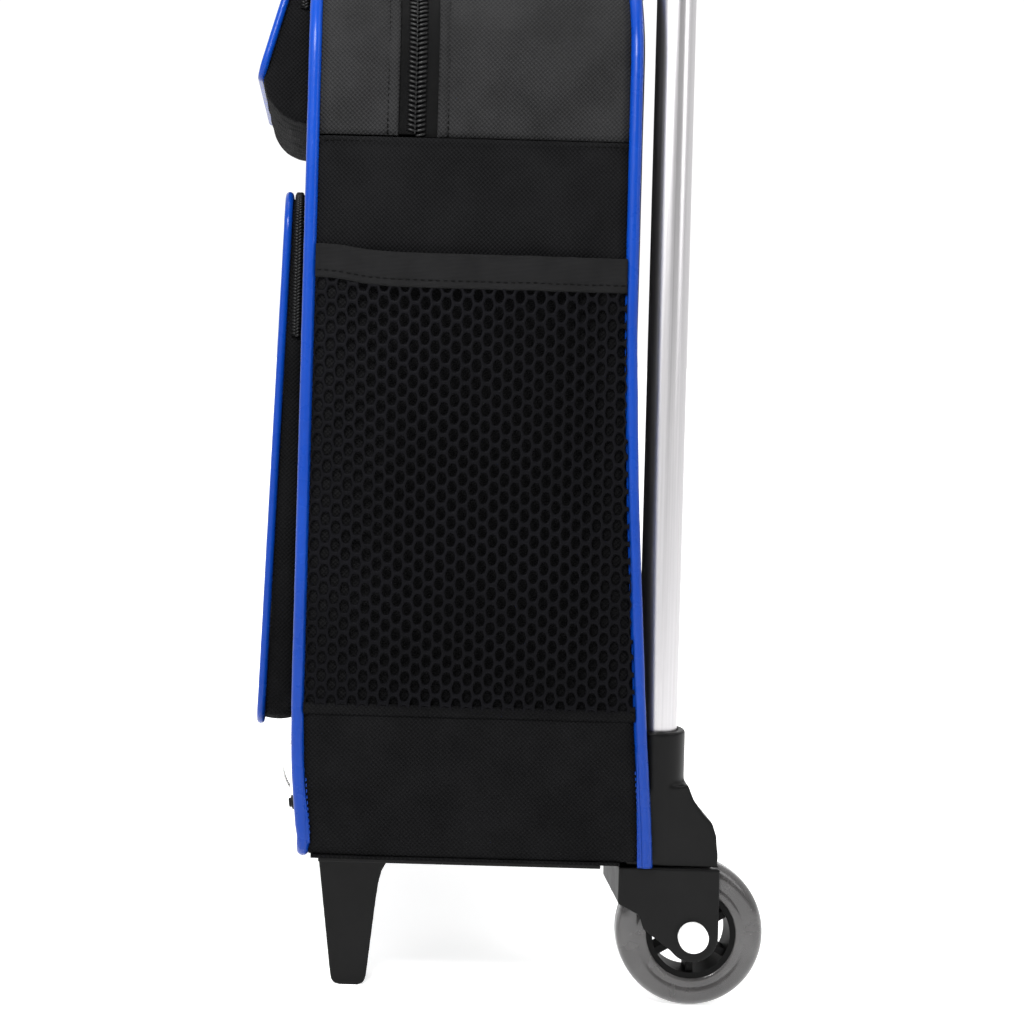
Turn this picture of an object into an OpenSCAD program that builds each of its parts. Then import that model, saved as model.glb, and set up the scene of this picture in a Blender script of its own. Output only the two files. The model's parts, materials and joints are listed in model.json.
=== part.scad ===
// Wheeled bowling ball bag: a soft two-ball bag on a rigid tray, with a front lid that hinges
// down, front and mesh pockets, and a telescopic trolley handle at the back.
// Millimetres. +X right, -Y front (pockets), +Z up. The origin is on the floor, within 4 mm
// of the centre of the whole object's outline.

/* [Bag body] */
// Width over the piping
bag_w = 460; // [450:1:480]
// Height of the bag's underside above the floor
base_z = 100; // [96:1:104]
// Height of the bag's top above the floor
top_z = 755; // [740:1:765]
// Height of the seam where the main zip ends and the lid folds
seam_z = 609; // [600:1:615]
// Radius of the top corners
corner_r = 90; // [70:1:110]
// Front piping, centre of the bead
front_y = -145.4; // [-148:0.1:-143]
// Rear piping, centre of the bead at the top
rear_y = 81; // [80:0.5:83]
// Thickness of a padded fabric panel
panel_t = 4; // [3:0.5:4]
// Diameter of the main piping bead
bead_d = 9; // [7:0.5:9]

/* [Pockets] */
// Half width of the lower front pocket
lower_half_w = 180; // [160:1:190]
// Bottom of the lower front pocket
lower_bottom_z = 183; // [175:1:200]
// Top of the lower front pocket
lower_top_z = 571; // [560:1:578]
// How far the lower pocket stands out at its foot
lower_depth = 23.6; // [20:0.1:26]
// Half width of the upper front pocket
upper_half_w = 165; // [150:1:175]
// How far the upper pocket stands out at its belly
upper_depth = 35.9; // [34:0.1:38]
// Diameter of the pocket piping bead
pocket_bead_d = 6; // [4:0.5:6]
// Bottom of the mesh side pockets
mesh_bottom_z = 208; // [200:1:220]
// Top of the mesh, where its binding starts
mesh_top_z = 502.6; // [480:0.1:510]
// Height of the mesh pocket's binding
binding_h = 25.4; // [20:0.1:30]
// How far the mesh pocket bows out at its middle
mesh_bow = 9; // [8:0.5:11]

/* [Balls] */
// Diameter of the balls that the cradle holds
ball_d = 218; // [216:0.5:219]

/* [Trolley] */
// Distance of each tube from the middle
tube_x = 200; // [198:0.5:200]
// Tube axis, behind the origin
tube_y = 112.2; // [112:0.1:115]
// Diameter of the fixed outer tubes
tube_d = 28; // [27:0.5:28]
// Travel of the handle
handle_travel = 275; // [200:5:280]

/* [Wheels] */
// Diameter of the wheels
wheel_d = 104; // [100:1:104]
// Width of the tyres
tyre_w = 24; // [20:1:24]
// Middle of each tyre, from the centre
wheel_x = 205; // [204:0.5:206]
// Wheel axis, behind the origin
wheel_y = 137.1; // [136:0.1:138]
// Diameter of the axles
axle_d = 8; // [6:0.5:8]

/* [Hidden] */
$fn = 72;

LEFT = -1;
RIGHT = 1;

fabric = "#1c1c1e";
blue = "#0b3ea6";
binding_grey = "#2b2b2d";
black_plastic = "#242426";
silver = "#b9babd";
zip_black = "#141416";
clear_grey = "#8d8782";

bead_r = bead_d / 2;
bead_gap = 0.3;
bead_x = bag_w / 2 - bead_r;
bead_top = top_z - bead_r;
bead_corner_r = corner_r - bead_r;
gusset_x = bag_w / 2 - 1.5;
gusset_top = top_z - 1.5;
gusset_r = corner_r - 1.5;
flat_half_w = bead_x - bead_r - bead_gap - 0.2;
flat_top = bead_top - bead_r - bead_gap;
flat_r = bead_corner_r - bead_r;
foot_bead_r = 12;
foot_bead_z = base_z + bead_r;

// The pipings' side view, as [height, depth] of the bead's centre from the base up.
front_line = [[foot_bead_z + foot_bead_r, -139], [150, -143.6], [200, front_y]];
rear_line = [[foot_bead_z + foot_bead_r, 102], [200, 95.5], [360, 86], [480, 81.5]];

foot_lean = atan((front_line[0][1] - front_line[1][1]) / (front_line[1][0] - front_line[0][0]));

front_face = front_y - 3.6;
back_face = 89;
lid_z = seam_z + 1;

zip_y = -73;
zip_front_edge = -85.6;
zip_rear_edge = -58.3;
coil_w = 5.6;
coil_gap = 0.6;
tape_drop = 1.5;
tape_t = 1.2;

pocket_wall = 3.5;
pocket_bead_r = pocket_bead_d / 2;
pocket_zip_w = 7;
pocket_zip_t = 1.4;
pocket_zip_back = front_face - 1.6;
lower_zip_end = 467;
upper_belly_z = 658;
upper_top_z = 738;
upper_top_depth = 13;
upper_under_r = upper_depth - 0.5;
upper_lean = atan((upper_depth - upper_top_depth) / (upper_top_z - upper_belly_z));
lower_lean = -atan(11 / (lower_top_z - lower_bottom_z));

cradle_h = 46;
ball_clear = 1.5;
well_hole_r = sqrt(pow(ball_d / 2, 2) - pow(ball_d / 2 + ball_clear - cradle_h, 2));

mesh_edge_x = bag_w / 2 - 1;
mesh_half = 120;
mesh_mid_y = -24;
mesh_r = (mesh_half * mesh_half + mesh_bow * mesh_bow) / (2 * mesh_bow);
mesh_t = 1.2;

tube_r = tube_d / 2;
tube_wall = 1.5;
tube_bottom = 116;
tube_top = 772;
inner_r = tube_r - tube_wall - 0.6;
inner_wall = 1.2;
inner_bottom = 420;
inner_top = 800;
socket_r = tube_r + 5.8;
socket_top = 194;
brace_bottom = 726;
brace_top = 776;
pin_z = 435;
pin_r = 2.5;
grip_bottom = 798;
grip_top = 822;

wheel_r = wheel_d / 2;
axle_r = axle_d / 2;
fork_top = base_z - 0.5;
cheek_out = 222.5;
cheek_t = 4;
well_r = wheel_r + 3.5;
rim_r = 31.5;
tray_t = 4;

slider_len = 14;
slider_lift = 0.5;

// ---------- helpers ----------

module along_y(y0, y1) {
    translate([0, y1, 0]) rotate([90, 0, 0]) linear_extrude(y1 - y0) children();
}

module along_x(x0, x1) {
    translate([x0, 0, 0]) rotate([90, 0, 90]) linear_extrude(x1 - x0) children();
}

module on_side(s) {
    if (s == LEFT) mirror([1, 0, 0]) children();
    else children();
}

module both_sides() {
    for (s = [LEFT, RIGHT]) on_side(s) children();
}

// A flat-bottomed outline with round top corners, in X and Z.
module arch(half_w, top, r, z0) {
    translate([-half_w, z0]) square([2 * half_w, max(top - r - z0, 0.1)]);
    translate([-(half_w - r), z0]) square([2 * (half_w - r), top - z0]);
    intersection() {
        for (s = [-1, 1]) translate([s * (half_w - r), top - r]) circle(r);
        translate([-half_w, max(z0, top - r)]) square([2 * half_w, r]);
    }
}

module arch_band(half_w, top, r, z0, t) {
    difference() {
        arch(half_w, top, r, z0);
        arch(half_w - t, top - t, r - t, z0 - 1);
    }
}

module round_rect(half_w, z0, z1, r) {
    for (s = [-1, 1]) {
        translate([s * (half_w - r), z0 + r]) circle(r);
        translate([s * (half_w - r), z1 - r]) circle(r);
    }
    translate([-half_w, z0 + r]) square([2 * half_w, z1 - z0 - 2 * r]);
    translate([-(half_w - r), z0]) square([2 * (half_w - r), z1 - z0]);
}

// A round bead swept along a list of [x, y, z] points that never run along Y.
module sweep(path, r, sides = 16) {
    last = len(path) - 1;
    rings = [for (i = [0 : last]) let (
        ahead = path[min(i + 1, last)] - path[i],
        behind = path[i] - path[max(i - 1, 0)],
        along = unit(unit(i < last ? ahead : behind) + unit(i > 0 ? behind : ahead)),
        across = unit(cross(along, [0, 1, 0])),
        up = cross(across, along)
    ) for (k = [0 : sides - 1]) let (a = 360 * k / sides)
        path[i] + r * (cos(a) * across + sin(a) * up)];
    faces = concat(
        [[for (k = [0 : sides - 1]) k]],
        [for (i = [0 : last - 1], k = [0 : sides - 1]) let (n = (k + 1) % sides)
            [i * sides + n, i * sides + k, (i + 1) * sides + k, (i + 1) * sides + n]],
        [[for (k = [sides - 1 : -1 : 0]) last * sides + k]]
    );
    polyhedron(points = rings, faces = faces);
}

function unit(v) = v / norm(v);

// Points on a circle in the X-Z plane at depth y, from angle a0 to a1.
function arc_points(cx, y, cz, r, a0, a1, steps) =
    [for (i = [0 : steps]) let (a = a0 + (a1 - a0) * i / steps) [cx + r * cos(a), y, cz + r * sin(a)]];

function mirrored(path) = [for (i = [len(path) - 1 : -1 : 0]) [-path[i][0], path[i][1], path[i][2]]];

// A quarter of a torus in the X-Z plane; a0 is the angle where it starts.
module bead_corner(cx, cz, y, ring_r, r, a0) {
    translate([cx, y, cz])
        rotate([90, 0, 0])
            rotate([0, 0, a0])
                rotate_extrude(angle = 90) translate([ring_r, 0]) circle(r);
}

// The bead over the top of an arch, from height z0 up, at one depth.
module bead_arch(z0, y) {
    cx = bead_x - bead_corner_r;
    cz = bead_top - bead_corner_r;
    for (s = [-1, 1]) translate([s * bead_x, y, z0]) cylinder(h = cz - z0, r = bead_r);
    translate([-cx, y, bead_top]) rotate([0, 90, 0]) cylinder(h = 2 * cx, r = bead_r);
    bead_corner(cx, cz, y, bead_corner_r, bead_r, 0);
    bead_corner(-cx, cz, y, bead_corner_r, bead_r, 90);
}

// A closed bead around a rounded rectangle in the X-Z plane, at y = 0.
module bead_loop(half_w, z0, z1, ring_r, r) {
    for (s = [-1, 1]) {
        translate([s * half_w, 0, z0 + ring_r]) cylinder(h = z1 - z0 - 2 * ring_r, r = r);
    }
    for (z = [z0, z1]) {
        translate([-(half_w - ring_r), 0, z])
            rotate([0, 90, 0]) cylinder(h = 2 * (half_w - ring_r), r = r);
    }
    bead_corner(half_w - ring_r, z1 - ring_r, 0, ring_r, r, 0);
    bead_corner(-(half_w - ring_r), z1 - ring_r, 0, ring_r, r, 90);
    bead_corner(-(half_w - ring_r), z0 + ring_r, 0, ring_r, r, 180);
    bead_corner(half_w - ring_r, z0 + ring_r, 0, ring_r, r, 270);
}

// Side view between the pipings, from z0 to z1, as [y, z] points.
function flank(z0, z1) = concat(
    [for (p = front_line) if (p[0] > z0 && p[0] < z1) [p[1] + bead_r + bead_gap, p[0]]],
    [[front_y + bead_r + bead_gap, z1], [rear_y - bead_r - bead_gap, z1]],
    [for (i = [len(rear_line) - 1 : -1 : 0]) let (p = rear_line[i])
        if (p[0] > z0 && p[0] < z1) [p[1] - bead_r - bead_gap, p[0]]],
    [[rear_at(z0) - bead_r - bead_gap, z0], [front_at(z0) + bead_r + bead_gap, z0]]
);

function front_at(z) = lookup(z, concat(front_line, [[top_z, front_y]]));
function rear_at(z) = lookup(z, concat(rear_line, [[665, rear_y], [top_z, rear_y]]));

// ---------- bag body ----------

module base_tray() {
    color(black_plastic)
        translate([0, 0, base_z - tray_t])
            linear_extrude(tray_t) translate([-216, -128]) square([432, 200]);
}

module base_panel() {
    color(fabric)
        translate([0, 0, base_z])
            linear_extrude(panel_t) translate([-gusset_x, -134]) square([2 * gusset_x, 218]);
}

module side_panel(s) {
    color(fabric)
        on_side(s)
            along_x(gusset_x - panel_t, gusset_x) polygon(flank(base_z + panel_t, seam_z));
}

module front_panel() {
    bottom = foot_bead_z + bead_r + 0.5;
    line = concat([[bottom, front_line[0][1]]], front_line, [[seam_z, front_y]]);
    outer = [for (p = line) [p[1] - 3.6, p[0]]];
    inner = [for (i = [len(line) - 1 : -1 : 0]) [line[i][1] + 0.4, line[i][0]]];
    color(fabric)
        intersection() {
            along_x(-flat_half_w, flat_half_w) polygon(concat(outer, inner));
            along_y(-160, -130) cut_corners(flat_half_w, bottom, 6);
        }
}

// A flat outline in X and Z whose two bottom corners are cut off.
module cut_corners(half_w, z0, cut) {
    polygon([[-half_w + cut, z0], [half_w - cut, z0], [half_w, z0 + cut], [half_w, top_z],
             [-half_w, top_z], [-half_w, z0 + cut]]);
}

module back_panel() {
    color(fabric)
        along_y(back_face - panel_t, back_face) arch(flat_half_w, flat_top, flat_r, base_z + 6);
}

module back_board() {
    color("#3a3a3c")
        along_y(back_face - panel_t - 5, back_face - panel_t) arch(214, 740, 78, base_z + 7);
}

module top_gusset() {
    color(fabric)
        along_y(zip_rear_edge, rear_y - bead_r - bead_gap)
            arch_band(gusset_x, gusset_top, gusset_r, seam_z, panel_t);
}

// The front bead's right half, from the middle of the base up to the seam.
function front_bead_half() = concat(
    [[0, front_line[0][1], foot_bead_z]],
    arc_points(bead_x - foot_bead_r, front_line[0][1], foot_bead_z + foot_bead_r,
               foot_bead_r, -90, 0, 6),
    [for (i = [1 : len(front_line) - 1]) [bead_x, front_line[i][1], front_line[i][0]]],
    [[bead_x, front_y, seam_z]]
);

module front_piping() {
    half = front_bead_half();
    color(blue) sweep(concat(mirrored([for (i = [1 : len(half) - 1]) half[i]]), half), bead_r);
}

// The rear bead's right half, from the base up to the middle of the top.
function rear_bead_half() = concat(
    [[bead_x, rear_at(0), base_z + 1]],
    [for (p = rear_line) [bead_x, p[1], p[0]]],
    arc_points(bead_x - bead_corner_r, rear_y, bead_top - bead_corner_r, bead_corner_r, 0, 90, 12),
    [[0, rear_y, bead_top]]
);

module rear_piping() {
    half = rear_bead_half();
    color(blue) sweep(concat(half, mirrored([for (i = [0 : len(half) - 2]) half[i]])), bead_r);
}

module zip_tape(y_edge, y_coil0, y_coil1, z0) {
    color(zip_black) {
        along_y(min(y_edge, y_coil0 + 1), max(y_edge, y_coil1 - 1))
            arch_band(gusset_x - tape_drop, gusset_top - tape_drop, gusset_r - tape_drop,
                      z0, tape_t);
        along_y(y_coil0, y_coil1)
            arch_band(gusset_x - 0.4, gusset_top - 0.4, gusset_r - 0.4, z0, 3);
    }
}

module zip_tape_rear() {
    zip_tape(zip_rear_edge, zip_y + coil_gap / 2, zip_y + coil_gap / 2 + coil_w, seam_z);
}

// A foam block with two round holes; each ball rests on a hole's rim, just above the base.
module ball_cradle() {
    inner_front = front_line[0][1] + bead_r + bead_gap;
    color("#45454a")
        difference() {
            translate([-gusset_x + panel_t + 2, inner_front, base_z + panel_t])
                cube([2 * (gusset_x - panel_t - 2), 78 - inner_front, cradle_h]);
            for (s = [-1, 1])
                translate([s * (ball_d / 2 + 2), -32.5, base_z + panel_t - 1])
                    cylinder(h = cradle_h + 2, r = well_hole_r);
        }
}

module mesh_arc(t, grow) {
    intersection() {
        translate([mesh_edge_x + mesh_bow - mesh_r + grow, mesh_mid_y])
            difference() {
                circle(mesh_r, $fn = 360);
                circle(mesh_r - t, $fn = 360);
            }
        translate([mesh_edge_x - 0.4, -150]) square([20, 260]);
    }
}

module mesh_pocket(s) {
    color("#0c0c0d")
        on_side(s)
            intersection() {
                union() {
                    translate([0, 0, mesh_bottom_z])
                        linear_extrude(mesh_top_z - mesh_bottom_z) mesh_arc(mesh_t, 0);
                    translate([0, 0, mesh_bottom_z]) linear_extrude(3) mesh_floor();
                }
                along_x(200, 260) polygon(flank(150, 560));
            }
}

// The seam that closes the mesh pocket's foot.
module mesh_floor() {
    intersection() {
        translate([mesh_edge_x + mesh_bow - mesh_r, mesh_mid_y]) circle(mesh_r, $fn = 360);
        translate([gusset_x, -150]) square([20, 260]);
    }
}

module mesh_bindings() {
    color(binding_grey)
        both_sides()
            intersection() {
                translate([0, 0, mesh_top_z]) linear_extrude(binding_h) mesh_arc(2, 0.4);
                along_x(200, 260) polygon(flank(150, 560));
            }
}

module grab_handle() {
    span = 75;
    rise = 28;
    t = 3;
    r = (span * span + rise * rise) / (2 * rise);
    color("#202022")
        along_y(-2, 23) {
            intersection() {
                translate([0, gusset_top + rise - r]) difference() {
                    circle(r + t);
                    circle(r);
                }
                translate([-span - 10, gusset_top]) square([2 * span + 20, 60]);
            }
            for (s = [-1, 1])
                translate([s * (span + 16) - 20, gusset_top]) square([40, t]);
        }
}

module bumper_studs() {
    color("#1a1a1b")
        both_sides()
            translate([213, front_at(137) - 4, 137])
                rotate([90 + foot_lean, 0, 0]) {
                    cylinder(h = 2, r = 5);
                    cylinder(h = 4, r = 3.2);
                }
}

module tag_loop() {
    chord = 36;
    bulge = 7;
    r = (chord * chord / 4 + bulge * bulge) / (2 * bulge);
    color(clear_grey)
        along_x(206, 213)
            intersection() {
                translate([front_at(163) - 3.8 - bulge + r, 163]) difference() {
                    circle(r);
                    circle(r - 0.8);
                }
                translate([-170, 140]) square([170 + front_at(163) - 5.2, 46]);
            }
}

// ---------- lower front pocket ----------

module lower_pocket_frame() {
    translate([0, front_face - lower_depth, lower_bottom_z])
        rotate([lower_lean, 0, 0])
            translate([0, 0, -lower_bottom_z])
                children();
}

module lower_pocket() {
    color(fabric)
        difference() {
            lower_pocket_frame() difference() {
                along_y(0, 40) round_rect(lower_half_w, lower_bottom_z, lower_top_z, 28);
                along_y(pocket_wall, 41)
                    round_rect(lower_half_w - pocket_wall, lower_bottom_z + pocket_wall,
                               lower_top_z - pocket_wall, 28 - pocket_wall);
                lower_bead(pocket_bead_r + 0.05);
            }
            translate([-250, front_face, 100]) cube([500, 60, 560]);
        }
}

module lower_bead(r) {
    bead_loop(lower_half_w, lower_bottom_z, lower_top_z, 28, r);
}

module lower_pocket_piping() {
    color(blue) lower_pocket_frame() lower_bead(pocket_bead_r);
}

module lower_pocket_zip() {
    color(zip_black)
        along_y(pocket_zip_back - pocket_zip_w, pocket_zip_back)
            difference() {
                arch(lower_half_w + pocket_zip_t, lower_zip_top(), 28 + pocket_zip_t,
                     lower_zip_end);
                arch(lower_half_w + 0.05, lower_zip_top() - pocket_zip_t, 28.05,
                     lower_zip_end - 1);
            }
}

function lower_zip_top() = lower_top_z + 0.45 + pocket_zip_t;

// ---------- lid ----------

module lid_panel() {
    color(fabric)
        along_y(front_face, front_face + panel_t) arch(flat_half_w, flat_top, flat_r, lid_z);
}

module lid_gusset() {
    color(fabric)
        along_y(front_y + bead_r + bead_gap, zip_front_edge)
            arch_band(gusset_x, gusset_top, gusset_r, lid_z, panel_t);
}

module lid_piping() {
    color(blue) bead_arch(lid_z, front_y);
}

module zip_tape_front() {
    zip_tape(zip_front_edge, zip_y - coil_gap / 2 - coil_w, zip_y - coil_gap / 2, lid_z + 1);
}

// Side view of the upper pocket: a leaning front over a round underside.
module upper_profile(inset) {
    under = upper_under_r - inset;
    middle = front_face - upper_depth + upper_under_r;
    high = upper_top_z - inset;
    polygon(concat(
        [[front_face, high], [front_face, upper_belly_z - under]],
        [for (a = [270 : -5 : 180]) [middle + under * cos(a), upper_belly_z + under * sin(a)]],
        [[front_face - upper_top_depth + inset, high]]
    ));
}

module upper_pocket() {
    color(fabric)
        difference() {
            along_x(-upper_half_w, upper_half_w) upper_profile(0);
            translate([0, 0.01, 0])
                along_x(-upper_half_w + pocket_wall, upper_half_w - pocket_wall)
                    upper_profile(pocket_wall);
            upper_bead(pocket_bead_r + 0.05);
        }
}

module upper_bead(r) {
    run = (upper_top_z - upper_belly_z) / cos(upper_lean);
    translate([0, front_face - upper_depth, upper_belly_z])
        rotate([-upper_lean, 0, 0])
            bead_loop(upper_half_w, 0, run, 14, r);
}

module upper_pocket_piping() {
    color(blue) upper_bead(pocket_bead_r);
}

module upper_pocket_zip() {
    color(zip_black)
        translate([-150, pocket_zip_back - pocket_zip_w, upper_top_z])
            cube([300, pocket_zip_w, pocket_zip_t]);
}

// ---------- zip sliders and pulls ----------

// Local frame: the zip runs along X, its chain's top is at z = 0 and its middle at y = 0.
module slider() {
    ear_y = 3.6;
    color("#8f9195") {
        translate([-slider_len / 2, -7.6, slider_lift]) cube([slider_len, 14.2, 2]);
        translate([-slider_len / 2, -7.6, -0.5]) cube([slider_len, 1.4, 2]);
        for (y = [-ear_y - 1.4, ear_y])
            difference() {
                translate([-2.6, y, slider_lift + 2]) cube([5.2, 1.4, 3.2]);
                translate([0, y - 1, slider_lift + 3.9])
                    rotate([-90, 0, 0]) cylinder(h = 4, r = 0.85, $fn = 24);
            }
    }
}

module pull() {
    z = slider_lift + 3.9;
    color("#8f9195") {
        translate([0, -4.9, z]) rotate([-90, 0, 0]) cylinder(h = 9.8, r = 0.8, $fn = 24);
        translate([0, -3.2, z - 0.8]) cube([8, 6.4, 1.6]);
        difference() {
            translate([7.9, -4.5, z - 0.8]) cube([20, 9, 1.6]);
            translate([22, 0, z - 2]) cylinder(h = 4, r = 2.4);
        }
    }
}

module at_main_zip(s) {
    on_side(s) translate([slider_len / 2 + 2, zip_y, gusset_top - 0.4]) children();
}

module at_lower_zip() {
    translate([-60, pocket_zip_back - pocket_zip_w / 2, lower_zip_top() + 0.1]) children();
}

module at_upper_zip() {
    translate([-60, pocket_zip_back - pocket_zip_w / 2, upper_top_z + pocket_zip_t + 0.1])
        children();
}

module pocket_slider() {
    ear_y = 2.2;
    color("#8f9195") {
        translate([-6, -3.4, 0.3]) cube([12, 6.8, 2]);
        for (y = [-ear_y - 1.2, ear_y])
            difference() {
                translate([-2.4, y, 2.2]) cube([4.8, 1.2, 3]);
                translate([0, y - 1, 4]) rotate([-90, 0, 0]) cylinder(h = 4, r = 0.85, $fn = 24);
            }
    }
}

module pocket_pull() {
    color("#8f9195") {
        translate([0, -3.3, 4]) rotate([-90, 0, 0]) cylinder(h = 6.6, r = 0.8, $fn = 24);
        difference() {
            translate([0, -1.9, 3.2]) cube([22, 3.8, 1.6]);
            translate([18, 0, 2]) cylinder(h = 4, r = 1.1);
        }
    }
}

// ---------- trolley ----------

module at_tube(s) {
    on_side(s) translate([tube_x, tube_y, 0]) children();
}

module outer_tube(s) {
    color(silver)
        at_tube(s)
            difference() {
                translate([0, 0, tube_bottom]) cylinder(h = tube_top - tube_bottom, r = tube_r);
                translate([0, 0, tube_bottom - 1])
                    cylinder(h = tube_top - tube_bottom + 2, r = tube_r - tube_wall);
                for (z = [pin_z, pin_z + handle_travel])
                    translate([0, 0, z])
                        rotate([-90, 0, 0]) cylinder(h = tube_r + 2, r = pin_r + 0.2);
            }
}

module inner_tube(s) {
    color("#cfd0d3")
        at_tube(s)
            difference() {
                translate([0, 0, inner_bottom])
                    cylinder(h = inner_top - inner_bottom, r = inner_r);
                translate([0, 0, inner_bottom - 1])
                    cylinder(h = inner_top - inner_bottom + 2, r = inner_r - inner_wall);
                translate([0, 0, pin_z])
                    rotate([-90, 0, 0]) cylinder(h = inner_r + 2, r = pin_r + 0.05);
            }
}

module lock_plugs() {
    color("#303032")
        for (s = [LEFT, RIGHT]) at_tube(s)
            difference() {
                union() {
                    translate([0, 0, inner_bottom - 10])
                        cylinder(h = 10, r = tube_r - tube_wall - 0.08);
                    translate([0, 0, inner_bottom])
                        cylinder(h = 30, r = inner_r - inner_wall - 0.02);
                }
                translate([0, 1, pin_z])
                    rotate([-90, 0, 0]) cylinder(h = inner_r, r = pin_r + 0.05);
            }
}

module lock_pins() {
    color(silver)
        for (s = [LEFT, RIGHT]) at_tube(s)
            translate([0, 2, pin_z])
                rotate([-90, 0, 0]) cylinder(h = inner_r - 2.2, r = pin_r);
}

module tube_brace() {
    color(black_plastic)
        difference() {
            union() {
                translate([-tube_x, back_face + 0.2, brace_bottom])
                    cube([2 * tube_x, 11, 30]);
                for (s = [LEFT, RIGHT]) at_tube(s)
                    translate([0, 0, brace_bottom])
                        cylinder(h = brace_top - brace_bottom, r = socket_r);
            }
            for (s = [LEFT, RIGHT]) at_tube(s) {
                translate([0, 0, brace_bottom - 1])
                    cylinder(h = tube_top - brace_bottom + 1, r = tube_r + 0.02);
                translate([0, 0, tube_top - 1]) cylinder(h = 20, r = inner_r + 0.08);
            }
        }
}

module handle_grip() {
    r = 13;
    color(black_plastic)
        difference() {
            union() {
                translate([0, 0, grip_bottom])
                    linear_extrude(grip_top - grip_bottom)
                        round_bar(tube_x + 4, tube_y, r);
                for (s = [LEFT, RIGHT]) at_tube(s)
                    translate([0, 0, grip_bottom - 13]) cylinder(h = 14, r = r + 2);
            }
            for (s = [LEFT, RIGHT]) at_tube(s) {
                translate([0, 0, grip_bottom - 14])
                    cylinder(h = inner_top - grip_bottom + 14, r = inner_r + 0.02);
                cylinder(h = grip_bottom + 6, r = 3.4);
            }
            translate([-206, tube_y - 3, grip_bottom + 4.5]) cube([412, 6, 10]);
            translate([-16.3, tube_y - 7.3, grip_bottom + 8]) cube([32.6, 14.6, 20]);
        }
}

// A bar outline with round ends, in X and Y.
module round_bar(half_len, y, r) {
    translate([-half_len, y - r]) square([2 * half_len, 2 * r]);
    for (s = [-1, 1]) translate([s * half_len, y]) circle(r);
}

module handle_button() {
    color("#3d3d40")
        translate([-16, tube_y - 7, grip_bottom + 13]) cube([32, 14, 14]);
}

module push_rods() {
    color(silver) {
        translate([-202, tube_y - 2, grip_bottom + 9.4]) cube([404, 4, 3.6]);
        for (s = [LEFT, RIGHT]) at_tube(s)
            translate([0, 0, inner_bottom + 35])
                cylinder(h = grip_bottom + 10 - inner_bottom - 35, r = 2);
    }
}

// ---------- rear brackets, forks and feet ----------

module rear_bracket(s) {
    well_x = wheel_x - tyre_w / 2 - 1.5;
    color(black_plastic)
        on_side(s)
            difference() {
                union() {
                    translate([tube_x, tube_y, base_z + 4])
                        cylinder(h = socket_top - base_z - 4, r = socket_r);
                    along_x(tube_x - 19, tube_x + 19) bracket_shoulder();
                    translate([150, back_face + 0.3, base_z + 6]) cube([40, 4, 44]);
                }
                translate([tube_x, tube_y, tube_bottom])
                    cylinder(h = 100, r = tube_r + 0.02);
                translate([well_x, wheel_y, wheel_r])
                    rotate([0, 90, 0]) cylinder(h = tyre_w + 3, r = well_r);
                for (z = [116, 140])
                    translate([166, 80, z]) rotate([-90, 0, 0]) cylinder(h = 30, r = 2.2);
            }
}

// Side view of the shoulder between the tube socket and the wheel.
module bracket_shoulder() {
    front = back_face + 0.3;
    polygon([[front, base_z], [front, 150], [132, 158], [136.5, 147], [144, 137],
             [150, 131], [153, 122], [155.2, base_z]]);
}

module wheel_fork(s) {
    inner_cheek = wheel_x - tyre_w / 2 - 1.5 - cheek_t;
    color(black_plastic)
        on_side(s)
            difference() {
                union() {
                    along_x(cheek_out - cheek_t, cheek_out) cheek();
                    along_x(inner_cheek, inner_cheek + cheek_t) cheek();
                    translate([150, 84, fork_top - 5]) cube([cheek_out - 150, 24, 5]);
                    translate([150, 84, 73.5]) cube([cheek_out - 150, 4, fork_top - 73.5]);
                }
                translate([inner_cheek - 1, wheel_y, wheel_r])
                    rotate([0, 90, 0]) cylinder(h = 60, r = axle_r + 0.02);
                translate([inner_cheek + cheek_t, wheel_y, wheel_r])
                    rotate([0, 90, 0]) cylinder(h = tyre_w + 3, r = well_r);
            }
}

// Side view of a fork cheek; it ends in a round boss at the axle.
module cheek() {
    boss_r = 18.3;
    polygon([[84, fork_top], [84, 73.5], [99, 66], [102.5, 56], [122.5, 41], [wheel_y, wheel_r],
             [wheel_y + boss_r, wheel_r], [wheel_y + boss_r, fork_top]]);
    translate([wheel_y, wheel_r]) circle(boss_r);
}

module wheel_axles() {
    inner_end = wheel_x - tyre_w / 2 - 1.5 - cheek_t - 4;
    color("#f2f2f2")
        both_sides()
            translate([0, wheel_y, wheel_r]) {
                translate([inner_end, 0, 0])
                    rotate([0, 90, 0]) cylinder(h = cheek_out + 1 - inner_end, r = axle_r);
                translate([cheek_out + 0.02, 0, 0])
                    rotate([0, 90, 0]) cylinder(h = 4.5, r = 10.5);
                translate([inner_end, 0, 0])
                    rotate([0, 90, 0]) cylinder(h = 3.9, r = 7);
            }
}

module foot(s) {
    color(black_plastic)
        on_side(s)
            along_x(161.5, 188)
                polygon([[-128, base_z - tray_t], [-116.5, 3], [-113.5, 0], [-94.5, 0],
                         [-91.5, 3], [-83.5, 78], [-80, 88], [-70, base_z - tray_t]]);
}

module bracket_screws() {
    color(silver)
        both_sides()
            for (z = [116, 140])
                translate([166, back_face + 0.25, z]) rotate([-90, 0, 0]) {
                    cylinder(h = 5, r = 2.15);
                    translate([0, 0, 4.1]) cylinder(h = 2.2, r = 4.2);
                }
}

// ---------- wheels ----------

module at_wheel(s) {
    on_side(s) translate([wheel_x, wheel_y, wheel_r]) rotate([0, 90, 0]) children();
}

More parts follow.
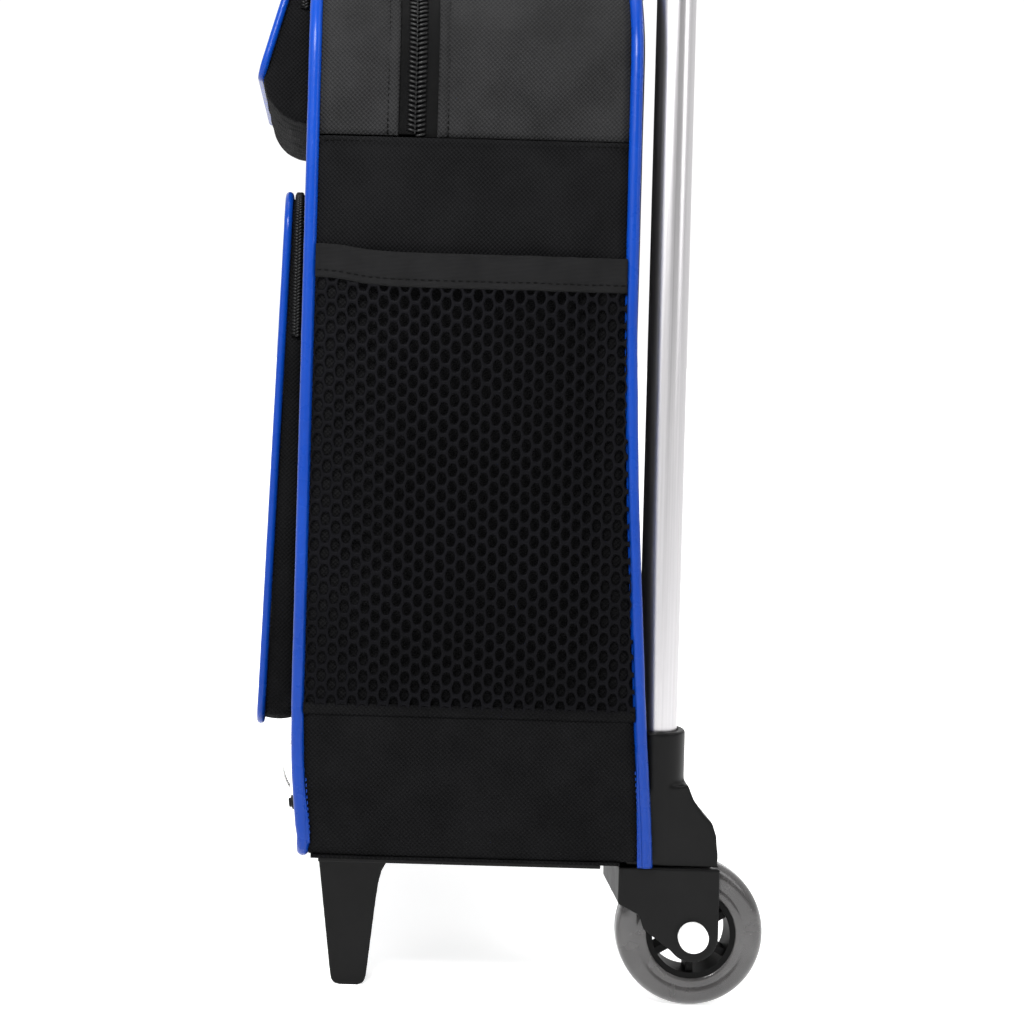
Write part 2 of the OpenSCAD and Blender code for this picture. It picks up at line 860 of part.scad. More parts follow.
module tyre(s) {
    half = tyre_w / 2;
    color(clear_grey)
        at_wheel(s)
            rotate_extrude()
                difference() {
                    union() {
                        translate([rim_r, -half]) square([wheel_r - rim_r - 9, tyre_w]);
                        translate([rim_r, -half + 9]) square([wheel_r - rim_r, tyre_w - 18]);
                        for (z = [-1, 1])
                            translate([wheel_r - 9, z * (half - 9)]) circle(9);
                    }
                    translate([0, -half - 1]) square([rim_r, tyre_w + 2]);
                }
}

module hub(s) {
    half = tyre_w / 2 - 1;
    color("#19191a")
        at_wheel(s)
            difference() {
                union() {
                    difference() {
                        translate([0, 0, -half]) cylinder(h = 2 * half, r = rim_r - 0.02);
                        translate([0, 0, -half - 1]) cylinder(h = 2 * half + 2, r = rim_r - 4);
                    }
                    translate([0, 0, -half]) cylinder(h = 2 * half, r = 13.5);
                    for (a = [0 : 60 : 300])
                        rotate([0, 0, a]) translate([12, -2.5, -half + 3])
                            cube([rim_r - 14, 5, 2 * half - 6]);
                }
                translate([0, 0, -half - 1]) cylinder(h = 2 * half + 2, r = 8);
                for (z = [-half - 1, half - 7]) translate([0, 0, z]) cylinder(h = 8, r = 11);
            }
}

module bearings(s) {
    half = tyre_w / 2 - 1;
    color(silver)
        at_wheel(s)
            for (z = [-half, half - 7])
                translate([0, 0, z]) difference() {
                    cylinder(h = 7, r = 10.98);
                    translate([0, 0, -1]) cylinder(h = 9, r = axle_r + 0.05);
                }
}

// ---------- nodes ----------

base_tray();
base_panel();
side_panel(LEFT);  // side_panel_l
side_panel(RIGHT);  // side_panel_r
front_panel();
back_panel();
back_board();
top_gusset();
front_piping();
rear_piping();
zip_tape_rear();
mesh_pocket(LEFT);  // mesh_pocket_l
mesh_pocket(RIGHT);  // mesh_pocket_r
mesh_bindings();
ball_cradle();
lower_pocket();
lower_pocket_piping();
lower_pocket_zip();
grab_handle();
rear_bracket(LEFT);  // rear_bracket_l
rear_bracket(RIGHT);  // rear_bracket_r
wheel_fork(LEFT);  // wheel_fork_l
wheel_fork(RIGHT);  // wheel_fork_r
wheel_axles();
foot(LEFT);  // foot_l
foot(RIGHT);  // foot_r
bracket_screws();
outer_tube(LEFT);  // outer_tube_l
outer_tube(RIGHT);  // outer_tube_r
tube_brace();
bumper_studs();
tag_loop();
lid_panel();
lid_gusset();
lid_piping();
zip_tape_front();
upper_pocket();
upper_pocket_piping();
upper_pocket_zip();
at_main_zip(LEFT) slider();  // zip_slider_l
at_main_zip(RIGHT) slider();  // zip_slider_r
at_main_zip(LEFT) pull();  // zip_pull_l
at_main_zip(RIGHT) pull();  // zip_pull_r
at_lower_zip() pocket_slider();  // lower_pocket_slider
at_lower_zip() pocket_pull();  // lower_pocket_pull
at_upper_zip() pocket_slider();  // upper_pocket_slider
at_upper_zip() pocket_pull();  // upper_pocket_pull
inner_tube(LEFT);  // inner_tube_l
inner_tube(RIGHT);  // inner_tube_r
lock_plugs();
lock_pins();
handle_grip();
handle_button();
push_rods();
tyre(LEFT);  // tyre_l
tyre(RIGHT);  // tyre_r
hub(LEFT);  // hub_l
hub(RIGHT);  // hub_r
bearings(LEFT);  // bearings_l
bearings(RIGHT);  // bearings_r
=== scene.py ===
import json
import math

import bmesh
import bpy
import numpy as np
from mathutils import Matrix, Vector, noise

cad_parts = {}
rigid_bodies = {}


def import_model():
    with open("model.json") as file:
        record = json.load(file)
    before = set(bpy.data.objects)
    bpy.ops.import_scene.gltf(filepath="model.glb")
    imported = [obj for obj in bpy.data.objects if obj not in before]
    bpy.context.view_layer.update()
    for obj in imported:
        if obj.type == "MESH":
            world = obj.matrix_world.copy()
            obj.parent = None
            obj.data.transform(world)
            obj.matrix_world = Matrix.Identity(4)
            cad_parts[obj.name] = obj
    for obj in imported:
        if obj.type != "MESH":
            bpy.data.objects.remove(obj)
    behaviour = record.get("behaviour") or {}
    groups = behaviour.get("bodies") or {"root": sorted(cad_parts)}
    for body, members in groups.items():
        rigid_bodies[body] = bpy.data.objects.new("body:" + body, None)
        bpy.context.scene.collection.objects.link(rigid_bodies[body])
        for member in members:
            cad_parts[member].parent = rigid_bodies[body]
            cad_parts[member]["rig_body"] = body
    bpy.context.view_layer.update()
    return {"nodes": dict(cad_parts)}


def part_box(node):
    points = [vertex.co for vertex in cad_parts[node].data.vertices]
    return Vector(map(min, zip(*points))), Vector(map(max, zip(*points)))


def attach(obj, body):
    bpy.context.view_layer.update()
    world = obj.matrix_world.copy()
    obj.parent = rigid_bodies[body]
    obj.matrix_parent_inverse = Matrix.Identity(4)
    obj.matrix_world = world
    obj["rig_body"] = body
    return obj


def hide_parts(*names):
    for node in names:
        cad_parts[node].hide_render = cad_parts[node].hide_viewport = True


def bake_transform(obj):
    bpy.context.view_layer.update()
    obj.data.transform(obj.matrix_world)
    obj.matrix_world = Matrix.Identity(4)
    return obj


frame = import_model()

MM = 0.001
SIDES = (("r", 1), ("l", -1))

# Sizes repeated from the CAD source, in millimetres.
GUSSET_X, GUSSET_TOP, GUSSET_R = 228.5, 753.5, 88.5
BEAD_X, BEAD_TOP, BEAD_CORNER, BEAD_R = 225.5, 750.5, 85.5, 4.5
FLAT_W, FLAT_TOP, FLAT_R = 220.5, 745.7, 81.0
FRONT_Y, REAR_Y = -145.4, 81.0
FRONT_LINE = [(96, -138.6), (116.5, -139), (150, -143.6), (200, -145.4), (755, -145.4)]
REAR_LINE = [(96, 102.6), (116.5, 102), (200, 95.5), (360, 86), (480, 81.5), (665, 81), (755, 81)]
FRONT_FACE, BACK_FACE = -149.0, 89.0
BASE_Z, SEAM_Z, LID_Z = 100.0, 609.0, 610.0
ZIP_Y, ZIP_FRONT, ZIP_REAR, COIL_W, COIL_GAP = -73.0, -85.6, -58.3, 5.6, 0.6
MESH_BOTTOM, MESH_TOP, BINDING_H = 208.0, 502.6, 25.4
LOWER_W, LOWER_Z0, LOWER_Z1, LOWER_DEPTH, LOWER_R = 180.0, 183.0, 571.0, 23.6, 28.0
LOWER_LEAN = math.atan(11 / (LOWER_Z1 - LOWER_Z0))
UPPER_W, UPPER_BELLY_Z, UPPER_TOP_Z = 165.0, 658.0, 738.0
UPPER_DEPTH, UPPER_TOP_DEPTH, UPPER_UNDER = 35.9, 13.0, 35.4
POCKET_ZIP_BACK, POCKET_ZIP_W, POCKET_BEAD = -150.6, 7.0, 3.0
CORNER_REACH = 22.0
LOWER_ZIP_FOOT, UPPER_ZIP_FOOT = 467, 708
RIM_HELD, BACK_HELD = 6.5, 4.0
POCKET_PRESSURE, POCKET_SWELL, CLOTH_STIFFNESS, CLOTH_FRAMES = 3.0, 4.0, 15.0, 16

# In metres and degrees.
CAMERA_PLACE, CAMERA_ROLL = (1.560, -0.1368, 0.4720), 1.56
CAMERA_LENS, CAMERA_SHIFT = 66.77, (0.1875, -0.1777)
FLOOR_GLOW = 0.72
# The surround is dimmer on the +X side: direction from and to, strength from and to.
SURROUND = (-0.1, 0.55, 1.08, 0.22)
LIGHTS = (("key", (1.1, 1.5, 1.3), (0, 0.05, 0.4), (0.5, 1.6), 11),
          ("fill", (1.6, -1.6, 1.1), (0, 0, 0.4), (0.9, 1.4), 9),
          ("top", (0.1, -0.2, 2.2), (0, 0, 0.5), (1.4, 1.4), 22),
          ("shoulder", (0.95, -0.30, 1.02), (0.23, -0.09, 0.68), (0.3, 0.3), 15))


# ---------- camera, floor and light ----------

def make_camera():
    data = bpy.data.cameras.new("camera")
    data.lens, data.sensor_width = CAMERA_LENS, 36
    data.shift_x, data.shift_y = CAMERA_SHIFT
    data.clip_start, data.clip_end = 0.05, 50
    cam = bpy.data.objects.new("camera", data)
    bpy.context.scene.collection.objects.link(cam)
    roll = math.radians(CAMERA_ROLL)
    right = Vector((0, math.cos(roll), math.sin(roll)))
    up = Vector((0, -math.sin(roll), math.cos(roll)))
    place = Matrix((right, up, Vector((1, 0, 0)))).transposed().to_4x4()
    place.translation = CAMERA_PLACE
    cam.matrix_world = place
    bpy.context.scene.camera = cam


def area_light(name, location, target, size, power):
    data = bpy.data.lights.new(name, "AREA")
    data.shape, data.size, data.size_y, data.energy = "RECTANGLE", size[0], size[1], power
    lamp = bpy.data.objects.new(name, data)
    bpy.context.scene.collection.objects.link(lamp)
    lamp.location = location
    lamp.rotation_mode = "QUATERNION"
    lamp.rotation_quaternion = (Vector(target) - Vector(location)).to_track_quat("-Z", "Y")


def make_stage():
    scene = bpy.context.scene
    scene.view_settings.view_transform = "Standard"
    floor = new_object("floor", [(-30000, -30000, 0), (30000, -30000, 0),
                                 (30000, 30000, 0), (-30000, 30000, 0)], [(0, 1, 2, 3)])
    mat, tree, shader = material("floor_white", (0.86, 0.86, 0.86), 0.9, spec=0.1)
    shader.inputs["Emission Color"].default_value = (1, 1, 1, 1)
    shader.inputs["Emission Strength"].default_value = FLOOR_GLOW
    floor.data.materials.append(mat)
    world = bpy.data.worlds.new("studio")
    scene.world = world
    world.use_nodes = True
    tree = world.node_tree
    back = tree.nodes["Background"]
    where = tree.nodes.new("ShaderNodeTexCoord")
    split = tree.nodes.new("ShaderNodeSeparateXYZ")
    tree.links.new(where.outputs["Generated"], split.inputs[0])
    fade = new_node(tree, "MapRange", From_Min=SURROUND[0], From_Max=SURROUND[1],
                    To_Min=SURROUND[2], To_Max=SURROUND[3])
    fade.interpolation_type = "SMOOTHSTEP"
    tree.links.new(split.outputs["X"], fade.inputs["Value"])
    tree.links.new(fade.outputs[0], back.inputs["Strength"])
    back.inputs["Color"].default_value = (1, 1, 1, 1)
    for light in LIGHTS:
        area_light(*light)


# ---------- mesh building ----------

def new_object(name, verts, faces):
    mesh = bpy.data.meshes.new(name)
    points = (np.asarray(verts, float).reshape(-1, 3) * MM).tolist()
    mesh.from_pydata(points, [], faces)
    mesh.update()
    obj = bpy.data.objects.new(name, mesh)
    bpy.context.scene.collection.objects.link(obj)
    return obj


class Build:
    """Collects parts of one mesh."""

    def __init__(self):
        self.verts, self.faces, self.count = [], [], 0

    def add(self, verts, faces):
        verts = np.asarray(verts, float).reshape(-1, 3)
        self.verts.append(verts)
        self.faces += [tuple(i + self.count for i in f) for f in faces]
        self.count += len(verts)

    def mirrored(self, verts, faces, side):
        verts = np.array(verts, float).reshape(-1, 3)
        verts[:, 0] *= side
        self.add(verts, faces if side > 0 else [f[::-1] for f in faces])

    def make(self, name):
        return new_object(name, np.concatenate(self.verts), self.faces)


def built(name, verts, faces, side=1):
    """One object from one part, mirrored for the left side."""
    build = Build()
    build.mirrored(verts, faces, side)
    return build.make(name)


def prism(side, left, right):
    """A closed (y, z) outline run across from one x to another."""
    n = len(side)
    verts = [(x, y, z) for x in (left, right) for y, z in side]
    faces = [tuple(range(n)), tuple(range(2 * n - 1, n - 1, -1))]
    faces += [(k, n + k, n + (k + 1) % n, (k + 1) % n) for k in range(n)]
    return verts, faces


def piece(obj, body, slot, mat=None, nodes=(), weld=0.0):
    """Cleans a mesh, gives it its material and ties it to its body; a "fold" piece only has its
    transform baked in and is tied to no body.
    """
    bm = bmesh.new()
    bm.from_mesh(obj.data)
    if weld:
        bmesh.ops.remove_doubles(bm, verts=bm.verts, dist=weld * MM)
        bmesh.ops.dissolve_degenerate(bm, edges=bm.edges, dist=1e-6)
    bmesh.ops.recalc_face_normals(bm, faces=bm.faces)
    for f in bm.faces:
        f.smooth = True
    bm.to_mesh(obj.data)
    bm.free()
    obj.data.materials.clear()
    obj.data.materials.append(mat or MATERIALS[slot])
    if body == "fold":
        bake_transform(obj)
    else:
        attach(obj, body)
    if nodes:
        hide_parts(*nodes)
    return obj


def slab(outer, inner):
    """A closed thick panel between two grids of points."""
    n, m = outer.shape[:2]
    at = lambda k, i, j: k * n * m + i * m + j
    faces = []
    for i in range(n - 1):
        for j in range(m - 1):
            faces.append((at(0, i, j), at(0, i, j + 1), at(0, i + 1, j + 1), at(0, i + 1, j)))
            faces.append((at(1, i, j), at(1, i + 1, j), at(1, i + 1, j + 1), at(1, i, j + 1)))
    for i in range(n - 1):
        for j in (0, m - 1):
            faces.append((at(0, i, j), at(0, i + 1, j), at(1, i + 1, j), at(1, i, j)))
    for j in range(m - 1):
        for i in (0, n - 1):
            faces.append((at(0, i, j), at(0, i, j + 1), at(1, i, j + 1), at(1, i, j)))
    return np.concatenate([outer.reshape(-1, 3), inner.reshape(-1, 3)]), faces


def backed(x, y, z, axis, back):
    """A closed panel from a grid of outer points to a plane across one axis."""
    outer = np.stack([x, y, z], -1)
    inner = outer.copy()
    inner[..., axis] = back
    return slab(outer, inner)


def tube(path, radius, sides, closed=False):
    """A round section swept along points, with parallel frames."""
    path = np.asarray(path, float)
    n = len(path)
    radius = np.broadcast_to(radius, n)
    ahead = np.roll(path, -1, 0) - path
    behind = path - np.roll(path, 1, 0)
    if not closed:
        ahead[-1], behind[0] = behind[-1], ahead[0]
    tangent = ahead / np.linalg.norm(ahead, axis=1)[:, None]
    tangent = tangent + behind / np.linalg.norm(behind, axis=1)[:, None]
    tangent /= np.linalg.norm(tangent, axis=1)[:, None]
    side = np.cross(tangent[0], (0, 1, 0))
    if np.linalg.norm(side) < 1e-3:
        side = np.cross(tangent[0], (1, 0, 0))
    rings = []
    for i in range(n):
        side = side - tangent[i] * side.dot(tangent[i])
        side /= np.linalg.norm(side)
        up = np.cross(side, tangent[i])
        a = np.linspace(0, 2 * math.pi, sides, endpoint=False)[:, None]
        rings.append(path[i] + radius[i] * (np.cos(a) * side + np.sin(a) * up))
    faces = []
    for i in range(n if closed else n - 1):
        for k in range(sides):
            j, l = (i + 1) % n, (k + 1) % sides
            faces.append((i * sides + k, i * sides + l, j * sides + l, j * sides + k))
    if not closed:
        faces.append(tuple(range(sides - 1, -1, -1)))
        faces.append(tuple((n - 1) * sides + k for k in range(sides)))
    return np.concatenate(rings), faces


def spaced(points, step):
    """The same line with points about step apart."""
    points = np.asarray(points, float)
    gaps = np.linalg.norm(np.diff(points, axis=0), axis=1)
    along = np.concatenate([[0], np.cumsum(gaps)])
    marks = np.linspace(0, along[-1], max(2, round(along[-1] / step) + 1))
    return np.stack([np.interp(marks, along, points[:, k]) for k in range(3)], 1)


def softened(points, rounds=3):
    """Corner cutting, with both ends kept."""
    points = np.asarray(points, float)
    for _ in range(rounds):
        a, b = points[:-1], points[1:]
        cut = np.stack([a * 0.75 + b * 0.25, a * 0.25 + b * 0.75], 1).reshape(-1, 3)
        points = np.concatenate([points[:1], cut[1:-1], points[-1:]])
    return points


def at_height(line, z):
    return np.interp(z, [p[0] for p in line], [p[1] for p in line])


def smooth_at(line, z):
    """The line's depth at a height, with its corners rounded off."""
    return sum(at_height(line, z + CORNER_REACH * k / 4) for k in range(-4, 5)) / 9


def ease(t):
    t = np.clip(t, 0, 1)
    return t * t * (3 - 2 * t)


def rumple(points, size, seed=0.0):
    """Smooth noise from -1 to 1 at each point."""
    flat = np.asarray(points, float).reshape(-1, 3) / size + seed
    return np.array([noise.noise(Vector(p)) for p in flat]).reshape(np.shape(points)[:-1])


def arch_line(half_w, top, r, z0, step=5.0):
    """Points (x, z, outward x, outward z) from the right foot over the top to the left foot."""
    rows = []
    for z in np.linspace(z0, top - r, max(2, int((top - r - z0) / step) + 1)):
        rows.append((half_w, z, 1.0, 0.0))
    for a in np.linspace(0, math.pi / 2, max(3, int(r * 1.57 / step) + 1))[1:]:
        rows.append((half_w - r + r * math.cos(a), top - r + r * math.sin(a),
                     math.cos(a), math.sin(a)))
    for x in np.linspace(half_w - r, 0, max(2, int((half_w - r) / step) + 1))[1:]:
        rows.append((x, top, 0.0, 1.0))
    rows += [(-x, z, -nx, nz) for x, z, nx, nz in rows[-2::-1]]
    return np.array(rows)


def along_arch(line, y, off):
    """A path at one depth, off outward from an arch line, with its outward normals."""
    path = np.stack([line[:, 0] + line[:, 2] * off, 0 * line[:, 0] + y,
                     line[:, 1] + line[:, 3] * off], -1)
    return path, np.stack([line[:, 2], 0 * line[:, 0], line[:, 3]], -1)


def strip(line, ys, lift, thick, wave=0.0, seed=0.0):
    """A panel that follows an arch line; ys are depths across it and lift its height at each."""
    outer = np.zeros((len(line), len(ys), 3))
    inner = np.zeros_like(outer)
    for j, y in enumerate(ys):
        for part, off in ((outer, lift[j]), (inner, lift[j] - thick[j])):
            part[:, j, 0] = line[:, 0] + line[:, 2] * off
            part[:, j, 1] = y
            part[:, j, 2] = line[:, 1] + line[:, 3] * off
    if wave:
        mask = np.sin(np.linspace(0, math.pi, len(ys)))[None, :] ** 0.5
        push = rumple(outer, 45, seed) * wave * mask
        push += rumple(outer, 17, seed + 9) * wave * 0.35 * mask
        outer[..., 0] += push * line[:, None, 2]
        outer[..., 2] += push * line[:, None, 3]
    return outer, inner


def stitches(build, path, normals, pitch=4.3, length=3.0, r=0.38):
    """A row of thread stitches lying on a surface along a path."""
    path = np.asarray(path, float)
    normals = np.broadcast_to(np.asarray(normals, float), path.shape)
    gaps = np.linalg.norm(np.diff(path, axis=0), axis=1)
    along = np.concatenate([[0], np.cumsum(gaps)])
    count = max(1, int(along[-1] / pitch))
    marks = (np.arange(count) + 0.5) * along[-1] / count
    for mark in marks:
        a, b, up = ([np.interp(mark + d, along, s[:, k]) for k in range(3)]
                    for d, s in ((-0.5, path), (0.5, path), (0, normals)))
        a, b, up = np.array(a), np.array(b), np.array(up)
        ahead = (b - a) / max(np.linalg.norm(b - a), 1e-9)
        up = up / np.linalg.norm(up)
        across = np.cross(ahead, up)
        centre = (a + b) / 2
        rings = []
        for t, size, drop in ((-0.5, 0.35, 1.3), (-0.32, 0.95, 0.1), (0.32, 0.95, 0.1),
                              (0.5, 0.35, 1.3)):
            for q in range(6):
                w = 2 * math.pi * q / 6
                rings.append(centre + ahead * t * length - up * drop * r
                             + size * r * (math.cos(w) * across * 1.25 + math.sin(w) * up))
        faces = [(i * 6 + q, i * 6 + (q + 1) % 6, i * 6 + 6 + (q + 1) % 6, i * 6 + 6 + q)
                 for i in range(3) for q in range(6)]
        faces += [tuple(range(5, -1, -1)), tuple(range(18, 24))]
        build.add(rings, faces)


def finished_mesh(obj):
    """Applies an object's modifiers to its mesh."""
    graph = bpy.context.evaluated_depsgraph_get()
    mesh = bpy.data.meshes.new_from_object(obj.evaluated_get(graph))
    obj.modifiers.clear()
    obj.data = mesh
    return obj


def inflate(obj, pinned):
    """Swells a closed fabric body by cloth simulation, keeps pinned points, and caps the move."""
    count = len(obj.data.vertices)
    before = np.zeros(count * 3)
    obj.data.vertices.foreach_get("co", before)
    group = obj.vertex_groups.new(name="pin")
    group.add([int(i) for i in pinned], 1.0, "REPLACE")
    cloth = obj.modifiers.new("cloth", "CLOTH")
    s = cloth.settings
    s.quality, s.mass = 6, 0.3
    s.use_pressure, s.uniform_pressure_force = True, POCKET_PRESSURE
    s.vertex_group_mass = "pin"
    s.tension_stiffness = s.compression_stiffness = CLOTH_STIFFNESS
    s.bending_stiffness = 0.6
    s.shrink_min = -0.012
    s.effector_weights.gravity = 0
    cloth.collision_settings.use_collision = False
    cloth.point_cache.frame_start, cloth.point_cache.frame_end = 1, CLOTH_FRAMES
    scene = bpy.context.scene
    for number in range(1, CLOTH_FRAMES + 1):
        scene.frame_set(number)
    graph = bpy.context.evaluated_depsgraph_get()
    after = np.zeros(count * 3)
    obj.evaluated_get(graph).data.vertices.foreach_get("co", after)
    obj.modifiers.clear()
    obj.vertex_groups.clear()
    scene.frame_set(1)
    move = (after - before).reshape(-1, 3)
    size = np.linalg.norm(move, axis=1)[:, None]
    move *= np.minimum(1, POCKET_SWELL * MM / np.maximum(size, 1e-9))
    obj.data.vertices.foreach_set("co", before + move.ravel())
    obj.data.update()


def melted(obj, voxel, rounds):
    """Melts a closed solid's edges to moulded radii."""
    bm = bmesh.new()
    bm.from_mesh(obj.data)
    bmesh.ops.recalc_face_normals(bm, faces=bm.faces)
    bm.to_mesh(obj.data)
    bm.free()
    remesh = obj.modifiers.new("remesh", "REMESH")
    remesh.mode, remesh.voxel_size = "VOXEL", voxel * MM
    if rounds:
        melt = obj.modifiers.new("melt", "SMOOTH")
        melt.factor, melt.iterations = 0.5, rounds
    return finished_mesh(obj)


def moulded(node, voxel, slot, rounds=5):
    """A CAD solid with moulded edges."""
    source = frame["nodes"][node]
    obj = bpy.data.objects.new(node + "_moulded", source.data.copy())
    bpy.context.scene.collection.objects.link(obj)
    melted(obj, voxel, rounds)
    return piece(obj, source["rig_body"], slot, nodes=[node])


# ---------- materials ----------

def material(name, color, rough, spec=0.5, metal=0.0, coat=0.0, trans=0.0, ior=1.5):
    mat = bpy.data.materials.new(name)
    mat.use_nodes = True
    tree = mat.node_tree
    shader = tree.nodes["Principled BSDF"]
    for socket, value in (("Base Color", (*color, 1)), ("Roughness", rough), ("Metallic", metal),
                          ("Specular IOR Level", spec), ("Coat Weight", coat),
                          ("Coat Roughness", 0.1), ("Transmission Weight", trans), ("IOR", ior)):
        shader.inputs[socket].default_value = value
    return mat, tree, shader


def maths(tree, kind, a, b=None, c=None):
    node = tree.nodes.new("ShaderNodeMath")
    node.operation = kind
    for slot, value in zip(node.inputs, (a, b, c)):
        if value is None:
            continue
        if isinstance(value, (int, float)):
            slot.default_value = value
        else:
            tree.links.new(value, slot)
    return node.outputs[0]


def new_node(tree, kind, **sockets):
    node = tree.nodes.new("ShaderNode" + kind)
    for name, value in sockets.items():
        node.inputs[name.replace("_", " ")].default_value = value
    return node


def place_of(tree):
    return tree.nodes.new("ShaderNodeTexCoord")


def noisy(tree, where, scale, detail=3.0, stretch=None):
    node = new_node(tree, "TexNoise", Scale=scale, Detail=detail)
    source = where.outputs["Object"]
    if stretch:
        mapping = new_node(tree, "Mapping", Scale=stretch)
        tree.links.new(source, mapping.inputs[0])
        source = mapping.outputs[0]
    tree.links.new(source, node.inputs["Vector"])
    return node.outputs["Fac"]


def surface_axes(tree, where):
    """(u, v) in metres along a surface, by which way it faces."""
    place = tree.nodes.new("ShaderNodeSeparateXYZ")
    facing = tree.nodes.new("ShaderNodeSeparateXYZ")
    tree.links.new(where.outputs["Object"], place.inputs[0])
    tree.links.new(where.outputs["Normal"], facing.inputs[0])
    ax, ay, az = (maths(tree, "ABSOLUTE", facing.outputs[k]) for k in range(3))
    side = maths(tree, "GREATER_THAN", ax, maths(tree, "MAXIMUM", ay, az))
    top = maths(tree, "GREATER_THAN", az, maths(tree, "MAXIMUM", ax, ay))
    x, y, z = (place.outputs[k] for k in range(3))
    u = maths(tree, "MULTIPLY_ADD", maths(tree, "SUBTRACT", y, x), side, x)
    v = maths(tree, "MULTIPLY_ADD", maths(tree, "SUBTRACT", y, z), top, z)
    return u, v


def wave(tree, value, pitch):
    return maths(tree, "SINE", maths(tree, "MULTIPLY", value, 2 * math.pi / pitch))


def color_mix(tree, factor, dark, light, shader):
    node = tree.nodes.new("ShaderNodeMix")
    node.data_type = "RGBA"
    tree.links.new(factor, node.inputs[0])
    node.inputs[6].default_value = (*dark, 1)
    node.inputs[7].default_value = (*light, 1)
    tree.links.new(node.outputs[2], shader.inputs["Base Color"])


def rough_mix(tree, factor, low, high, shader):
    node = new_node(tree, "MapRange", To_Min=low, To_Max=high)
    tree.links.new(factor, node.inputs["Value"])
    tree.links.new(node.outputs[0], shader.inputs["Roughness"])


def bump(tree, height, shader, distance, strength=1.0, below=None):
    node = new_node(tree, "Bump", Distance=distance, Strength=strength)
    tree.links.new(height, node.inputs["Height"])
    if below:
        tree.links.new(below.outputs[0], node.inputs["Normal"])
    tree.links.new(node.outputs[0], shader.inputs["Normal"])
    return node


def woven(name, dark, light, pitch, rough, spec=0.2, shade=False):
    """Plain weave: threads over and under, a little uneven, with dust-scale colour variation; with
    shade, a painted shadow darkens the cloth behind the net.
    """
    mat, tree, shader = material(name, light, rough, spec=spec)
    where = place_of(tree)
    u, v = surface_axes(tree, where)
    drift = noisy(tree, where, 160, 2)
    u = maths(tree, "MULTIPLY_ADD", drift, pitch * 0.5, u)
    v = maths(tree, "MULTIPLY_ADD", drift, pitch * 0.4, v)
    over = maths(tree, "MULTIPLY", wave(tree, u, pitch * 2), wave(tree, v, pitch * 2))
    fine = maths(tree, "MULTIPLY", wave(tree, u, pitch), wave(tree, v, pitch))
    thread = maths(tree, "MULTIPLY_ADD", fine, 0.35, over)
    cloudy = noisy(tree, where, 26, 5)
    tone = maths(tree, "MULTIPLY_ADD", thread, 0.42,
                 maths(tree, "MULTIPLY_ADD", cloudy, 1.5, -0.25))
    # painted shade: the cloth's colour is darkened by position where the net shades it
    if shade:
        tone = maths(tree, "MULTIPLY", tone, painted_net_shadow(tree, where))
    color_mix(tree, tone, dark, light, shader)
    rough_mix(tree, cloudy, rough - 0.08, rough + 0.1, shader)
    first = bump(tree, thread, shader, 0.0003, 0.9)
    bump(tree, noisy(tree, where, 420, 2), shader, 0.0003 * 0.6, 0.5, below=first)
    return mat


def painted_net_shadow(tree, where):
    """Painted shadow: 1 on open cloth, falling where the net hangs over it, so the cloth's colour
    is darkened there as shade.
    """
    place = tree.nodes.new("ShaderNodeSeparateXYZ")
    tree.links.new(where.outputs["Object"], place.inputs[0])
    spans = ((2, 0.200, 0.216), (2, 0.520, 0.490), (1, -0.120, -0.060), (1, 0.090, 0.074),
             (0, 0.215, 0.222))
    mask = None
    for axis, off, on in spans:
        source = place.outputs[axis]
        if axis == 0:
            source = maths(tree, "ABSOLUTE", source)
        step = new_node(tree, "MapRange", From_Min=off, From_Max=on)
        step.interpolation_type = "SMOOTHSTEP"
        tree.links.new(source, step.inputs["Value"])
        mask = step.outputs[0] if mask is None else maths(tree, "MULTIPLY", mask, step.outputs[0])
    return maths(tree, "MULTIPLY_ADD", mask, -0.92, 1.0)


def ribbed(name, dark, light, pitch, rough, axis="v", spec=0.2, depth=0.0002):
    """Webbing or binding: fine ribs across with a cross thread."""
    mat, tree, shader = material(name, light, rough, spec=spec)
    where = place_of(tree)
    u, v = surface_axes(tree, where)
    main, other = (v, u) if axis == "v" else (u, v)
    rib = wave(tree, main, pitch)
    cross = wave(tree, other, pitch * 0.8)
    thread = maths(tree, "MULTIPLY_ADD", cross, 0.45, rib)
    tone = maths(tree, "MULTIPLY_ADD", thread, 0.14, noisy(tree, where, 60, 5))
    color_mix(tree, tone, dark, light, shader)
    first = bump(tree, thread, shader, depth, 0.8)
    bump(tree, noisy(tree, where, 700, 2), shader, depth, 0.35, below=first)
    return mat


def plastic(name, dark, light, rough, grain=900.0, depth=0.00006, spec=0.3):
    mat, tree, shader = material(name, light, rough, spec=spec)
    where = place_of(tree)
    cloudy = noisy(tree, where, 18, 5)
    color_mix(tree, cloudy, dark, light, shader)
    rough_mix(tree, noisy(tree, where, 55, 4), rough - 0.08, rough + 0.12, shader)
    first = bump(tree, noisy(tree, where, grain, 2), shader, depth, 0.8)
    bump(tree, noisy(tree, where, 40, 2), shader, 0.0003, 0.35, below=first)
    return mat


def brushed(name, dark, light, rough, stretch=(900, 900, 6)):
    mat, tree, shader = material(name, light, rough, metal=1.0)
    where = place_of(tree)
    hair = noisy(tree, where, 1.0, 3, stretch)
    color_mix(tree, hair, dark, light, shader)
    rough_mix(tree, hair, rough - 0.05, rough + 0.08, shader)
    bump(tree, hair, shader, 0.00002, 0.5)
    return mat


def clear(name, dark, light, rough, trans):
    mat, tree, shader = material(name, light, rough, trans=trans, ior=1.46, coat=0.3)
    where = place_of(tree)
    color_mix(tree, noisy(tree, where, 38, 4), dark, light, shader)
    rough_mix(tree, noisy(tree, where, 90, 3), rough - 0.05, rough + 0.12, shader)
    bump(tree, noisy(tree, where, 60, 2), shader, 0.0002, 0.4)
    return mat


